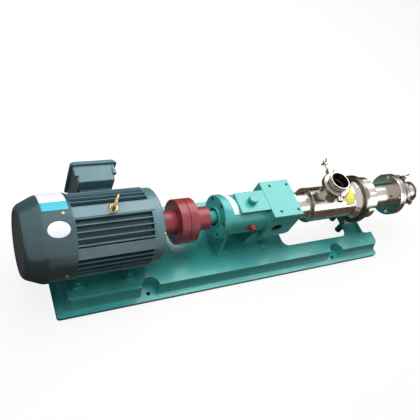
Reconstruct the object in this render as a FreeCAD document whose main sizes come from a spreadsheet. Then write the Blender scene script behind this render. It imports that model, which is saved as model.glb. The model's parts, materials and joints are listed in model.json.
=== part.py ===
"""Progressive cavity pump set: finned motor, pin coupling, bearing lantern and stainless pump on one cast base.

Units are millimetres. +X runs along the shaft from the motor to the discharge, +Z is up, and the origin
is the middle of the four anchor holes, level with the base's underside.
"""

import FreeCAD, Part
import math
import os
from types import SimpleNamespace

import Sketcher

V = FreeCAD.Vector
doc = FreeCAD.newDocument("ProgressiveCavityPump")
sheet = doc.addObject("Spreadsheet::Sheet", "Dimensions")

DIMENSIONS = [
    ("running_gap", 0.3, "gap between a turning piece and what carries it"),
    ("bolt_gap", 0.3, "radial gap of a bolt in its hole"),
    ("base_length", 1428, "cast base, overall length of its ledge"),
    ("base_width", 380, "cast base, overall width of its ledge"),
    ("base_height", 65, "underside to machined top"),
    ("ledge_height", 16, "thickness of the ledge round the foot of the wall"),
    ("ledge_width", 20, "ledge beyond the wall, near, far and motor end"),
    ("wall_draft", 15, "draft angle of the cast wall"),
    ("casting_wall", 9, "wall of the base casting"),
    ("base_corner", 22, "radius of the base's upright corners"),
    ("anchor_spacing_x", 855, "anchor holes, along the base"),
    ("anchor_spacing_y", 326, "anchor holes, across the base"),
    ("base_shift", -37, "middle of the base from the middle of the anchor holes"),
    ("anchor_hole", 8, "radius of an anchor hole"),
    ("recess_radius", 34, "radius of the half-round anchor pockets"),
    ("window_length", 345, "opening under the suction chamber, along the base"),
    ("window_width", 188, "opening under the suction chamber, across the base"),
    ("window_corner", 30, "radius of that opening's corners"),
    ("bridge_length", 83, "cross-member between the window and the end notch"),
    ("notch_width", 194, "notch at the discharge end"),
    ("stop_rib", 9, "thickness and height of the rib along the cross-member"),
    ("motor_pad_height", 19, "motor pads above the base top"),
    ("motor_pad_length", 276, "motor pads along the base"),
    ("motor_pad_width", 76, "width of one motor pad"),
    ("motor_pad_edge", 145, "outer edge of a motor pad from the shaft"),
    ("housing_pad_height", 3, "machined pads under the bearing housing"),
    ("motor_start", -712, "rear end of the motor frame"),
    ("shaft_height", 132, "motor shaft above its feet"),
    ("frame_length", 260, "finned motor frame"),
    ("frame_bore", 106, "bore of the motor frame"),
    ("frame_root", 117, "radius of the frame between its fins"),
    ("fin_radius", 133, "radius to the fin tips"),
    ("fin_root", 4.6, "thickness of a fin at the frame"),
    ("fin_tip", 3, "thickness of a fin at its tip"),
    ("fin_count", 40, "fins round the frame"),
    ("strip_width", 36, "flat strips for the lifting eye and the plate"),
    ("plate_angle", 56.5, "plate strip, turned from the top"),
    ("foot_spacing_x", 178, "motor feet along the shaft"),
    ("foot_spacing_y", 216, "motor feet across the shaft"),
    ("foot_first", 34, "first foot bolt from the frame's rear end"),
    ("foot_thickness", 12, "motor foot"),
    ("foot_length", 34, "motor foot along the shaft"),
    ("foot_edge", 126, "outer edge of a motor foot from the shaft"),
    ("foot_bolt", 5, "radius of the motor foot bolts"),
    ("core_length", 160, "stator and rotor cores"),
    ("air_gap", 0.6, "between the cores"),
    ("core_radius", 68, "radius of the rotor core"),
    ("shield_length", 40, "drive end shield"),
    ("shield_radius", 129, "drive end shield"),
    ("rear_shield", 14, "rear end shield"),
    ("bearing_radius", 45, "outer radius of the motor bearings"),
    ("bearing_width", 23, "width of the motor bearings"),
    ("shaft_seat", 20, "motor shaft at its bearings"),
    ("shaft_radius", 19, "motor shaft extension"),
    ("extension_length", 80, "motor shaft extension"),
    ("cowl_radius", 137.5, "fan cowl"),
    ("cowl_length", 142, "fan cowl, behind the frame"),
    ("cowl_straight", 85, "straight part of the fan cowl"),
    ("cowl_face", 112, "radius where the cowl's round edge meets its grille"),
    ("cowl_sheet", 2, "sheet of the fan cowl"),
    ("cowl_screw", 3, "radius of the cowl's screws"),
    ("cowl_lug", 6.5, "half width of the lugs that carry the cowl"),
    ("cowl_screw_inset", 23, "the cowl's screws behind the motor frame"),
    ("grille_radius", 98, "radius of the grille's outer slots"),
    ("fan_radius", 104, "cooling fan"),
    ("fan_blades", 8, "blades of the cooling fan"),
    ("box_start", 62, "terminal box from the frame's rear end"),
    ("box_length", 120, "terminal box along the shaft at the frame"),
    ("box_rise", 92, "top of the terminal box above the shaft"),
    ("box_height", 120, "terminal box, top to bottom, at the frame"),
    ("box_depth", 58, "terminal box from the frame to its lid"),
    ("box_flare", 8.5, "flare angle of the terminal box"),
    ("box_wall", 6, "wall of the terminal box"),
    ("lid_thickness", 15, "terminal box lid"),
    ("lid_overhang", 10, "lid beyond the rim of the box"),
    ("eye_position", 131, "lifting eye from the frame's rear end"),
    ("eye_ring", 25, "radius of the lifting eye to the middle of its wire"),
    ("eye_wire", 5, "radius of the lifting eye's wire"),
    ("eye_thread", 6, "radius of the lifting eye's thread"),
    ("eye_turn", -30, "the lifting eye's ring, turned about its thread from square to the shaft"),
    ("coupling_start", 5, "coupling hub from the motor face"),
    ("motor_hub", 69, "length of the coupling hub on the motor"),
    ("pump_hub", 63, "length of the coupling hub on the pump"),
    ("disc_width", 32, "width of each coupling disc"),
    ("disc_radius", 80, "radius of the coupling discs"),
    ("disc_gap", 2, "gap between the discs"),
    ("hub_radius", 43, "radius of the coupling hubs"),
    ("pin_circle", 60, "radius of the circle of coupling pins"),
    ("pin_radius", 6, "radius of a coupling pin"),
    ("pin_count", 6, "coupling pins"),
    ("bush_radius", 12, "rubber bushes round the coupling pins"),
    ("bush_length", 24, "rubber bushes round the coupling pins"),
    ("key_width", 10, "shaft keys, wide and high"),
    ("key_length", 50, "shaft keys"),
    ("open_shaft", 37, "bare shaft between the coupling and the bearing cover"),
    ("drive_radius", 24, "drive shaft"),
    ("cover_thickness", 12, "bearing cover"),
    ("flange_radius", 80, "bearing cover and the housing's flange"),
    ("flange_width", 13, "the housing's flange"),
    ("barrel_radius", 72, "barrel of the bearing housing"),
    ("barrel_length", 166, "barrel behind the flange"),
    ("drive_bearing", 52, "outer radius of the drive bearings"),
    ("drive_bearing_width", 26, "width of the drive bearings"),
    ("roof_start", 41, "bare round barrel between the flange and the roof slab"),
    ("roof_rise", 78, "roof slab and cover plate above the shaft"),
    ("roof_width", 87, "roof slab, across"),
    ("roof_thickness", 12, "roof slab"),
    ("lantern_length", 131, "lantern of the housing, along the shaft"),
    ("lantern_width", 160, "lantern of the housing, across"),
    ("lantern_wall", 10, "wall of the lantern"),
    ("plate_thickness", 8, "top cover plate"),
    ("window_radius", 22, "access holes in the lantern's sides"),
    ("pedestal_length", 239, "foot of the housing, along the shaft"),
    ("pedestal_width", 182, "foot of the housing, across"),
    ("pedestal_foot", 12, "thickness of the housing's foot"),
    ("pedestal_web", 16, "webs of the housing"),
    ("housing_bolt", 6, "radius of the housing's foot bolts"),
    ("cup_radius", 18, "grease cup"),
    ("cup_height", 10, "grease cup's body above the roof"),
    ("cap_height", 15, "grease cup's cap"),
    ("sight_radius", 15, "oil plug in the barrel's side"),
    ("sight_inset", 70, "oil plug in front of the lantern"),
    ("sight_rise", 16, "oil plug above the shaft"),
    ("seal_radius", 36, "radius of the packing rings"),
    ("packing_length", 40, "packing rings together"),
    ("neck_radius", 54, "neck of the suction casing"),
    ("neck_length", 77, "neck of the suction casing"),
    ("casing_flange", 72, "radius of the casing's flange on the lantern"),
    ("casing_radius", 68, "suction casing"),
    ("casing_length", 216, "straight part of the suction casing"),
    ("casing_wall", 3, "wall of the suction casing"),
    ("bell_radius", 82, "bell at the end of the suction casing"),
    ("bell_length", 30, "bell and its rim"),
    ("ring_radius", 100, "dark clamping ring"),
    ("ring_width", 21, "dark clamping ring"),
    ("nut_radius", 88, "slotted union nut"),
    ("nut_width", 59, "slotted union nut"),
    ("nut_slots", 8, "slots in the rim of the union nut"),
    ("tube_radius", 50, "stator tube"),
    ("tube_wall", 3.5, "wall of the stator tube"),
    ("tube_visible", 132, "stator tube from the union nut to its flange"),
    ("pair_radius", 89.5, "flange pair at the discharge"),
    ("pair_width", 15.5, "each flange of that pair"),
    ("pair_circle", 76, "radius of that pair's bolt circle"),
    ("pair_bolt", 6, "radius of that pair's bolts"),
    ("reducer_length", 50, "from the flange pair to the ferrule"),
    ("port_radius", 38.1, "three-inch pipe, outside"),
    ("port_bore", 36.4, "three-inch pipe, inside"),
    ("ferrule_radius", 45.5, "three-inch ferrule"),
    ("ferrule_width", 6.4, "ferrule at its rim"),
    ("gasket_width", 1.6, "gasket between two ferrules"),
    ("outlet_length", 60, "outlet stub with its two ferrules"),
    ("nozzle_offset", 173, "suction nozzle from the lantern's face"),
    ("nozzle_rise", 120, "middle of the suction clamp above the shaft"),
    ("stub_rise", 36, "suction stub above the middle of its clamp"),
    ("clamp_radius", 57, "pipe clamps"),
    ("clamp_width", 22, "pipe clamps, along the pipe"),
    ("lug_reach", 80, "clamp lugs from the pipe's axis"),
    ("swing_radius", 4, "swing bolt"),
    ("swing_length", 54, "swing bolt from its pin to its end"),
    ("swing_pin", 14, "swing bolt's pin from the clamp's parting"),
    ("nut_seat", 17, "wing nut's seat from the clamp's parting"),
    ("wing_reach", 22, "wing tips from the middle of their nut"),
    ("suction_bolt_angle", 75, "suction clamp's bolt, from the shaft's direction towards the far side"),
    ("suction_bolt_open", 98, "suction clamp's bolt, swung out from its slot"),
    ("swing_offset", 70, "swing bolt from the pipe's axis"),
    ("bolt_angle", 43, "discharge clamp's bolt, turned up from level"),
    ("orbit", 6, "offset of the pump rotor's axis"),
    ("rotor_radius", 21, "radius of the rotor's round section"),
    ("rotor_gap", 0.8, "clearance of the rotor in its stator"),
    ("rotor_pitch", 51, "pitch of the rotor"),
    ("rod_radius", 14, "coupling rod"),
    ("rod_head", 25, "heads of the coupling rod"),
    ("rod_gap", 0.6, "gap round the coupling rod's heads, which lie a little askew in their cups"),
    ("support_length", 40, "support under the union nut, along the shaft"),
    ("support_width", 84, "support under the union nut, across"),
]


class Size:
    """A length: its value now, and the sheet expression it is bound by."""

    def __init__(self, value, text=None):
        self.value = float(value)
        self.text = text or "(%.10g)" % self.value

    def join(self, sign, other, value):
        return Size(value, "(%s %s %s)" % (self.text, sign, other.text))

    def __add__(self, other):
        other = as_size(other)
        return self.join("+", other, self.value + other.value)

    def __sub__(self, other):
        other = as_size(other)
        return self.join("-", other, self.value - other.value)

    def __mul__(self, other):
        other = as_size(other)
        return self.join("*", other, self.value * other.value)

    def __truediv__(self, other):
        other = as_size(other)
        return self.join("/", other, self.value / other.value)

    def __radd__(self, other):
        return as_size(other) + self

    def __rsub__(self, other):
        return as_size(other) - self

    def __rmul__(self, other):
        return as_size(other) * self

    def __neg__(self):
        return Size(-self.value, "(0 - %s)" % self.text)


def as_size(value):
    return value if isinstance(value, Size) else Size(value)


def fill_sheet():
    """Writes each driving dimension to its own named cell and returns them as Sizes."""
    sizes = {}
    for row, (name, value, meaning) in enumerate(DIMENSIONS, start=1):
        sheet.set("A%d" % row, meaning)
        sheet.set("B%d" % row, "%.10g" % value)
        sheet.setAlias("B%d" % row, name)
        sizes[name] = Size(value, "Dimensions.%s" % name)
    doc.recompute()
    return SimpleNamespace(**sizes)


d = fill_sheet()

AXES = {
    "X": FreeCAD.Rotation(V(0, 1, 0), 90),
    "-X": FreeCAD.Rotation(V(0, 1, 0), -90),
    "Y": FreeCAD.Rotation(V(1, 0, 0), -90),
    "-Y": FreeCAD.Rotation(V(1, 0, 0), 90),
    "Z": FreeCAD.Rotation(),
    "-Z": FreeCAD.Rotation(V(1, 0, 0), 180),
}


def bind(thing, **sizes):
    """Binds each named property of an object to its size's expression."""
    for name, size in sizes.items():
        thing.setExpression(name, as_size(size).text)


def place(thing, at=(0, 0, 0), turn=None):
    """Gives an object a bound position and a fixed rotation."""
    x, y, z = (as_size(value) for value in at)
    thing.Placement = FreeCAD.Placement(V(x.value, y.value, z.value), turn or FreeCAD.Rotation())
    for letter, size in zip("xyz", (x, y, z)):
        thing.setExpression("Placement.Base." + letter, size.text)
    return thing


def about_x(angle):
    return FreeCAD.Rotation(V(1, 0, 0), angle)


def about_z(angle):
    return FreeCAD.Rotation(V(0, 0, 1), angle)


def cylinder(radius, length, at=(0, 0, 0), along="Z"):
    thing = doc.addObject("Part::Cylinder", "Cylinder")
    bind(thing, Radius=radius, Height=length)
    return place(thing, at, AXES[along])


def cone(first, last, length, at=(0, 0, 0), along="Z"):
    thing = doc.addObject("Part::Cone", "Cone")
    bind(thing, Radius1=first, Radius2=last, Height=length)
    return place(thing, at, AXES[along])


def block(low, high):
    """A box between two corners."""
    thing = doc.addObject("Part::Box", "Block")
    low = [as_size(value) for value in low]
    high = [as_size(value) for value in high]
    bind(thing, Length=high[0] - low[0], Width=high[1] - low[1], Height=high[2] - low[2])
    return place(thing, low)


def hexagon(across_corners, length, at=(0, 0, 0), along="Z"):
    thing = doc.addObject("Part::Prism", "Hexagon")
    thing.Polygon = 6
    bind(thing, Circumradius=across_corners, Height=length)
    return place(thing, at, AXES[along])


def torus(ring_radius, wire_radius, at=(0, 0, 0), along="Z"):
    thing = doc.addObject("Part::Torus", "Ring")
    bind(thing, Radius1=ring_radius, Radius2=wire_radius)
    return place(thing, at, AXES[along])


def fuse(*parts):
    thing = doc.addObject("Part::MultiFuse", "Fused")
    thing.Shapes = list(parts)
    thing.Refine = True
    return thing


def cut(base, *tools):
    """The base less its tools."""
    thing = doc.addObject("Part::Cut", "Cut")
    thing.Base = base
    thing.Tool = tools[0] if len(tools) == 1 else together(*tools)
    thing.Refine = True
    return thing


def common(base, tool):
    thing = doc.addObject("Part::Common", "Common")
    thing.Base = base
    thing.Tool = tool
    return thing


def together(*parts):
    """Separate solids in one object."""
    thing = doc.addObject("Part::Compound", "Group")
    thing.Links = list(parts)
    return thing


def tube(outer, inner, length, at=(0, 0, 0), along="Z"):
    """A round sleeve with a plain bore."""
    return cut(cylinder(outer, length, at, along), cylinder(inner, length, at, along))


def origin_feature(body, role):
    return next(feature for feature in body.Origin.OriginFeatures if feature.Role == role)


def new_body(name):
    body = doc.addObject("PartDesign::Body", name)
    doc.recompute()
    return body


def outline(body, plane, points, offset=0):
    """A closed outline of straight lines on an origin plane, each corner held by two bound distances."""
    sketch = body.newObject("Sketcher::SketchObject", "Outline")
    sketch.AttachmentSupport = [(origin_feature(body, plane), "")]
    sketch.MapMode = "FlatFace"
    offset = as_size(offset)
    sketch.AttachmentOffset = FreeCAD.Placement(V(0, 0, offset.value), FreeCAD.Rotation())
    sketch.setExpression("AttachmentOffset.Base.z", offset.text)
    points = [(as_size(x), as_size(y)) for x, y in points]
    corners = [V(x.value, y.value, 0) for x, y in points]
    for index, corner in enumerate(corners):
        sketch.addGeometry(Part.LineSegment(corner, corners[(index + 1) % len(corners)]), False)
    for index in range(len(corners)):
        sketch.addConstraint(Sketcher.Constraint("Coincident", index, 2, (index + 1) % len(corners), 1))
    for index, (x, y) in enumerate(points):
        hold(sketch, "DistanceX", index, x, -2)
        hold(sketch, "DistanceY", index, y, -1)
    return sketch


def hold(sketch, kind, index, size, axis):
    """Holds a corner at a bound distance from the origin, or on an axis where that distance is nothing."""
    if size.value == 0:
        sketch.addConstraint(Sketcher.Constraint("PointOnObject", index, 1, axis))
        return
    number = sketch.addConstraint(Sketcher.Constraint(kind, -1, 1, index, 1, size.value))
    sketch.setExpression("Constraints[%d]" % number, size.text)


def turned(points, at=(0, 0, 0), axis="H_Axis", turn=None):
    """A body turned from its half section about the section's own axis: points are along and out."""
    body = new_body("Turned")
    sketch = outline(body, "XZ_Plane", points)
    feature = body.newObject("PartDesign::Revolution", "Revolution")
    feature.Profile = sketch
    feature.ReferenceAxis = (sketch, [axis])
    feature.Angle = 360
    return place(body, at, turn)


def padded(plane, points, start, length, at=(0, 0, 0), turn=None):
    """A body of one straight-sided section, from its start along the plane's normal."""
    body = new_body("Padded")
    sketch = outline(body, plane, points, start)
    feature = body.newObject("PartDesign::Pad", "Pad")
    feature.Profile = sketch
    bind(feature, Length=length)
    return place(body, at, turn)


def tapered_box(low_x, high_x, half_width, start, height, angle, radius):
    """A cast box with rounded upright corners, wider at its foot by the draft."""
    body = new_body("Tapered")
    sketch = outline(
        body, "XY_Plane", rectangle(low_x, high_x, -half_width, half_width), start
    )
    pad = body.newObject("PartDesign::Pad", "Pad")
    pad.Profile = sketch
    bind(pad, Length=height, TaperAngle=-angle)
    doc.recompute()
    round_edges(body, pad, radius, upright)
    return body


def rectangle(low_x, high_x, low_y, high_y):
    return [(low_x, low_y), (high_x, low_y), (high_x, high_y), (low_x, high_y)]


def round_edges(body, base, radius, wanted):
    """Rounds those edges of a body's feature that the given test picks."""
    names = [
        "Edge%d" % number
        for number, edge in enumerate(base.Shape.Edges, start=1)
        if wanted(edge)
    ]
    fillet = body.newObject("PartDesign::Fillet", "Rounding")
    fillet.Base = (base, names)
    bind(fillet, Radius=radius)
    return fillet


def upright(edge):
    """True for an edge that climbs more than it runs."""
    first, last = edge.Vertexes[0].Point, edge.Vertexes[-1].Point
    return abs(last.z - first.z) > max(abs(last.x - first.x), abs(last.y - first.y))


def circle_points(count, radius, first=0):
    """Places spread evenly round a circle: each is a pair of bound distances."""
    for number in range(count):
        angle = math.radians(first + 360.0 * number / count)
        yield radius * round(math.cos(angle), 9), radius * round(math.sin(angle), 9)


NODES = {}


def node(name, thing):
    """Names an object as one sub-part of the pump set."""
    thing.Label = name
    NODES[name] = thing
    return thing


axis_height = d.base_height + d.motor_pad_height + d.shaft_height
base_start = d.base_shift - d.base_length / 2
base_end = d.base_shift + d.base_length / 2
frame_end = d.motor_start + d.frame_length
motor_face = frame_end + d.shield_length
coupling_start = motor_face + d.coupling_start
motor_disc = coupling_start + d.motor_hub
pump_disc = motor_disc + d.disc_width + d.disc_gap
coupling_end = pump_disc + d.disc_width + d.pump_hub
cover_start = coupling_end + d.open_shaft
flange_start = cover_start + d.cover_thickness
barrel_start = flange_start + d.flange_width
lantern_start = barrel_start + d.barrel_length
lantern_end = lantern_start + d.lantern_length
neck_start = lantern_end + 10
casing_start = neck_start + d.neck_length
bell_start = casing_start + d.casing_length
ring_start = bell_start + d.bell_length
nut_start = ring_start + d.ring_width
nut_end = nut_start + d.nut_width
pair_start = nut_end + d.tube_visible
pair_middle = pair_start + d.pair_width
pair_end = pair_middle + d.pair_width
ferrule_start = pair_end + d.reducer_length
discharge_joint = ferrule_start + d.ferrule_width + d.gasket_width / 2
outlet_start = discharge_joint + d.gasket_width / 2
outlet_end = outlet_start + d.outlet_length
nozzle_x = lantern_end + d.nozzle_offset
nozzle_joint = axis_height + d.nozzle_rise
window_start = lantern_end + 29
window_end = window_start + d.window_length
bridge_end = window_end + d.bridge_length
pedestal_start = flange_start + 17
foot_level = d.base_height + d.housing_pad_height
ON_AXIS = (0, 0, axis_height)

foot_bolt_places = [
    (d.motor_start + d.foot_first + step, side * d.foot_spacing_y / 2)
    for step in (0, d.foot_spacing_x)
    for side in (-1, 1)
]
housing_bolt_places = [
    (pedestal_start + inset, side * (d.pedestal_width / 2 - 16))
    for inset in (d.pedestal_web + 16, d.pedestal_length - 24)
    for side in (-1, 1)
]
anchor_places = [
    (along * d.anchor_spacing_x / 2, across * d.anchor_spacing_y / 2)
    for along in (-1, 1)
    for across in (-1, 1)
]
support_middle = window_end + d.support_length / 2 + 5
support_bolt_places = [(support_middle, side * (d.support_width / 2 - 12)) for side in (-1, 1)]
cover_screw_places = [
    (lantern_start + along, side * (d.lantern_width / 2 - 22))
    for along in (39, d.lantern_length - 14)
    for side in (-1, 1)
]


def make_base():
    """Cast base: ledge, drafted wall, open underside with skirts round its two openings."""
    wall_half = d.base_width / 2 - d.ledge_width
    ledge = tapered_box(
        base_start, base_end, d.base_width / 2, 0, d.ledge_height, as_size(0.01), d.base_corner / 2
    )
    upper = tapered_box(
        base_start + d.ledge_width, base_end, wall_half, d.ledge_height,
        d.base_height - d.ledge_height, d.wall_draft, d.base_corner,
    )
    pads = [
        block(
            (d.motor_start - 5, side_low, d.base_height - 1),
            (d.motor_start - 5 + d.motor_pad_length, side_low + d.motor_pad_width,
             d.base_height + d.motor_pad_height),
        )
        for side_low in (-d.motor_pad_edge, d.motor_pad_edge - d.motor_pad_width)
    ]
    housing_pad = block(
        (pedestal_start - 4, -d.pedestal_width / 2 - 4, d.base_height - 1),
        (pedestal_start + d.pedestal_length + 4, d.pedestal_width / 2 + 4, foot_level),
    )
    rib = block(
        (bridge_end - d.stop_rib, -d.notch_width / 2, d.base_height - 1),
        (bridge_end, d.notch_width / 2, d.base_height + d.stop_rib),
    )
    wall = d.casting_wall
    hollow = tapered_box(
        base_start + d.ledge_width + wall, base_end - wall, wall_half - wall, 0,
        d.base_height - wall, d.wall_draft, d.base_corner - wall,
    )
    kept = [
        cylinder(d.recess_radius + wall, d.base_height, (x, y - y / abs(y.value) * 8, 0))
        for x, y in anchor_places
    ]
    kept.append(
        block(
            (window_start - wall, -d.window_width / 2 - wall, 0),
            (window_end - d.window_corner, d.window_width / 2 + wall, d.base_height),
        )
    )
    kept.append(
        block(
            (bridge_end - wall, -d.notch_width / 2 - wall, 0),
            (base_end, d.notch_width / 2 + wall, d.base_height),
        )
    )
    for x in (frame_end + 20, pedestal_start):
        kept.append(block((x, -wall_half, 0), (x + wall, wall_half, d.base_height)))
    kept += [
        cylinder(d.foot_bolt + wall, d.base_height, (x, y, 0))
        for x, y in foot_bolt_places + housing_bolt_places + support_bolt_places
    ]
    hollow = cut(hollow, *kept)
    window = rounded_opening(window_start, window_end, d.window_width)
    notch = rounded_opening(bridge_end, base_end + 60, d.notch_width)
    recesses = [
        cylinder(
            d.recess_radius, d.base_height + d.motor_pad_height, (x, y - y / abs(y.value) * 8, d.ledge_height)
        )
        for x, y in anchor_places
    ]
    anchor_holes = [cylinder(d.anchor_hole, d.base_height, (x, y, -1)) for x, y in anchor_places]
    tapped = [
        cylinder(radius + d.bolt_gap, 120, (x, y, 20))
        for radius, places in (
            (d.foot_bolt, foot_bolt_places),
            (d.housing_bolt, housing_bolt_places),
            (d.housing_bolt, support_bolt_places),
        )
        for x, y in places
    ]
    solid = fuse(ledge, upper, housing_pad, rib, *pads)
    node("base_plate", cut(solid, hollow, window, notch, *recesses, *anchor_holes, *tapped))


def rounded_opening(start, end, width):
    """A through opening with rounded upright corners."""
    body = new_body("Opening")
    sketch = outline(body, "XY_Plane", rectangle(start, end, -width / 2, width / 2), -1)
    pad = body.newObject("PartDesign::Pad", "Pad")
    pad.Profile = sketch
    bind(pad, Length=d.base_height + 60)
    doc.recompute()
    round_edges(body, pad, d.window_corner, upright)
    return body


def make_motor_frame():
    """Cast frame with radial fins, a strip for the lifting eye, two plate strips and four feet."""
    body = new_body("FinnedFrame")
    sketch = outline(
        body, "XZ_Plane",
        [(0, d.frame_bore), (d.frame_length, d.frame_bore), (d.frame_length, d.frame_root),
         (0, d.frame_root)],
    )
    shell = body.newObject("PartDesign::Revolution", "Shell")
    shell.Profile = sketch
    shell.ReferenceAxis = (sketch, ["H_Axis"])
    shell.Angle = 360
    fin_sketch = outline(
        body, "YZ_Plane",
        [(-d.fin_root / 2, d.frame_root - 1), (d.fin_root / 2, d.frame_root - 1),
         (d.fin_tip / 2, d.fin_radius), (-d.fin_tip / 2, d.fin_radius)],
        4,
    )
    fin = body.newObject("PartDesign::Pad", "Fin")
    fin.Profile = fin_sketch
    bind(fin, Length=d.frame_length - 8)
    doc.recompute()
    fins = body.newObject("PartDesign::PolarPattern", "Fins")
    fins.Originals = [fin]
    fins.Axis = (origin_feature(body, "X_Axis"), [""])
    fins.Angle = 360
    bind(fins, Occurrences=d.fin_count)
    body.Tip = fins
    place(body, (d.motor_start, 0, axis_height))

    parts = [body]
    for angle in (0, 1, -1):
        strip = block(
            (d.motor_start, -d.strip_width / 2, 0),
            (frame_end, d.strip_width / 2, 0),
        )
        bind(strip, Height=d.fin_radius - d.frame_root + 4)
        turn = about_x(angle * d.plate_angle.value)
        parts.append(radial(strip, d.frame_root - 4, d.strip_width, turn, angle * d.plate_angle))
    for start in (0, d.foot_spacing_x):
        for side in (-1, 1):
            parts.append(motor_foot(d.motor_start + d.foot_first + start - d.foot_length / 2, side))
    for end in (d.motor_start, frame_end - 8):
        parts.append(
            tube(d.fin_radius - 3, d.frame_root - 1, 8, (end, 0, axis_height), "X")
        )
    blank = fuse(*parts)
    foot_top = axis_height - d.shaft_height + d.foot_thickness
    holes = [
        cylinder(d.foot_bolt + d.bolt_gap, 40, (x, y, foot_top - 30)) for x, y in foot_bolt_places
    ]
    holes += [cylinder(d.foot_bolt * 2.3, 16, (x, y, foot_top)) for x, y in foot_bolt_places]
    eye_hole = cylinder(
        d.eye_thread + d.bolt_gap, 30, (d.motor_start + d.eye_position, 0, axis_height + d.fin_radius - 24)
    )
    bore = cylinder(d.frame_bore, d.frame_length, (d.motor_start, 0, axis_height), "X")
    node("motor_frame", cut(blank, bore, eye_hole, *holes))


def radial(thing, distance, width, turn, angle):
    """Seats a box on the shaft's cylinder: turned about the shaft by a bound angle."""
    angle = as_size(angle)
    distance = as_size(distance)
    radians = "(%s * 1deg)" % angle.text
    thing.Placement = FreeCAD.Placement(V(0, 0, 0), turn)
    thing.setExpression("Placement.Rotation.Angle", angle.text)
    thing.setExpression("Placement.Base.x", d.motor_start.text)
    half = (width / 2).text
    thing.setExpression(
        "Placement.Base.y",
        "0 - %s * cos(%s) - %s * sin(%s)" % (half, radians, distance.text, radians),
    )
    thing.setExpression(
        "Placement.Base.z",
        "%s - %s * sin(%s) + %s * cos(%s)" % (axis_height.text, half, radians, distance.text, radians),
    )
    return thing


def motor_foot(start, side):
    """One foot of the motor: a flat pad under a leg that runs up into the frame."""
    level = -d.shaft_height
    points = [
        (side * d.foot_edge, level), (side * d.foot_edge, level + d.foot_thickness),
        (side * (d.foot_edge - 45), level + d.foot_thickness),
        (side * (d.frame_root - 11), -d.frame_root / 2 + 8),
        (side * (d.frame_root - 30), -d.frame_root / 2),
        (side * (d.foot_edge - 62), level + d.foot_thickness + 2),
        (side * (d.foot_edge - 62), level),
    ]
    return padded("YZ_Plane", points, start, d.foot_length, ON_AXIS)


def make_motor_inside():
    core_start = d.motor_start + (d.frame_length - d.core_length) / 2
    node(
        "stator_core",
        tube(d.frame_bore, d.core_radius + d.air_gap, d.core_length, (core_start, 0, axis_height), "X"),
    )
    node(
        "rotor_core",
        tube(d.core_radius, d.shaft_seat + 4, d.core_length, (core_start, 0, axis_height), "X"),
    )
    rear_bearing = d.motor_start - d.bearing_width + 10
    front_bearing = motor_face - d.bearing_width - 6
    node(
        "motor_bearings",
        together(*[
            tube(d.bearing_radius, d.shaft_seat + d.running_gap, d.bearing_width,
                 (start, 0, axis_height), "X")
            for start in (rear_bearing, front_bearing)
        ]),
    )
    points = [
        (d.motor_start - 98, 0), (d.motor_start - 98, 16), (rear_bearing - 3, 16),
        (rear_bearing - 3, d.shaft_seat), (core_start - 20, d.shaft_seat), (core_start - 20, d.shaft_seat + 4),
        (front_bearing - 6, d.shaft_seat + 4), (front_bearing - 6, d.shaft_seat),
        (motor_face + 2, d.shaft_seat), (motor_face + 2, d.shaft_radius),
        (motor_face + d.extension_length, d.shaft_radius), (motor_face + d.extension_length, 0),
    ]
    shaft = turned(points, ON_AXIS)
    node("motor_shaft", cut(shaft, key_block(coupling_start + 14, d.shaft_radius)))
    rear = [
        (d.motor_start - d.rear_shield, d.bearing_radius - 12), (d.motor_start - d.rear_shield, d.fin_radius - 12),
        (d.motor_start, d.fin_radius - 4), (d.motor_start, d.bearing_radius + 14),
        (d.motor_start + 10, d.bearing_radius + 14), (d.motor_start + 10, d.bearing_radius),
        (rear_bearing, d.bearing_radius), (rear_bearing, d.bearing_radius - 12),
    ]
    cowl_seat = d.cowl_radius - d.cowl_sheet - d.bolt_gap
    holes = [cylinder(d.cowl_screw + d.bolt_gap, 30, at, along) for at, along in cowl_screw_places(16)]
    lug_rear = d.motor_start - d.cowl_screw_inset - d.cowl_lug
    lug_front = d.motor_start - d.rear_shield / 2
    inner = d.cowl_radius - 20
    outer = d.cowl_radius + 5
    lugs = [
        block((lug_rear, low, axis_height - d.cowl_lug), (lug_front, high, axis_height + d.cowl_lug))
        for low, high in ((inner, outer), (-outer, -inner))
    ]
    lugs += [
        block((lug_rear, -d.cowl_lug, axis_height + low), (lug_front, d.cowl_lug, axis_height + high))
        for low, high in ((inner, outer), (-outer, -inner))
    ]
    within = cylinder(cowl_seat, d.motor_start + 12 - lug_rear, (lug_rear - 1, 0, axis_height), "X")
    node("rear_end_shield", cut(common(fuse(turned(rear, ON_AXIS), *lugs), within), *holes))
    front = [
        (frame_end, d.bearing_radius + 12), (frame_end, d.shield_radius),
        (motor_face - 12, d.shield_radius), (motor_face - 6, d.shield_radius - 8),
        (motor_face - 6, d.bearing_radius + 14), (motor_face, d.bearing_radius + 8),
        (motor_face, d.shaft_seat + 1), (front_bearing + d.bearing_width, d.shaft_seat + 1),
        (front_bearing + d.bearing_width, d.bearing_radius), (front_bearing, d.bearing_radius),
        (front_bearing, d.bearing_radius + 12),
    ]
    blank = turned(front, ON_AXIS)
    bolt_circle = d.shield_radius - 9
    holes = [
        cylinder(4 + d.bolt_gap, 60, (frame_end - 1, y, axis_height + z), "X")
        for y, z in circle_points(4, bolt_circle, 45)
    ]
    counterbores = [
        cylinder(11, 20, (motor_face - 14, y, axis_height + z), "X")
        for y, z in circle_points(4, bolt_circle, 45)
    ]
    node("drive_end_shield", cut(blank, *holes, *counterbores))
    bolts = []
    for y, z in circle_points(4, bolt_circle, 45):
        shank = cylinder(4, d.shield_length - 14, (frame_end, y, axis_height + z), "X")
        bolts.append(fuse(shank, hexagon(8, 6, (motor_face - 14, y, axis_height + z), "X")))
    node("shield_bolts", together(*bolts))


def key_block(start, radius):
    """The key on top of a shaft, half sunk in it."""
    half = d.key_width / 2
    return block(
        (start, -half, axis_height + radius - half), (start + d.key_length, half, axis_height + radius + half)
    )


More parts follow.
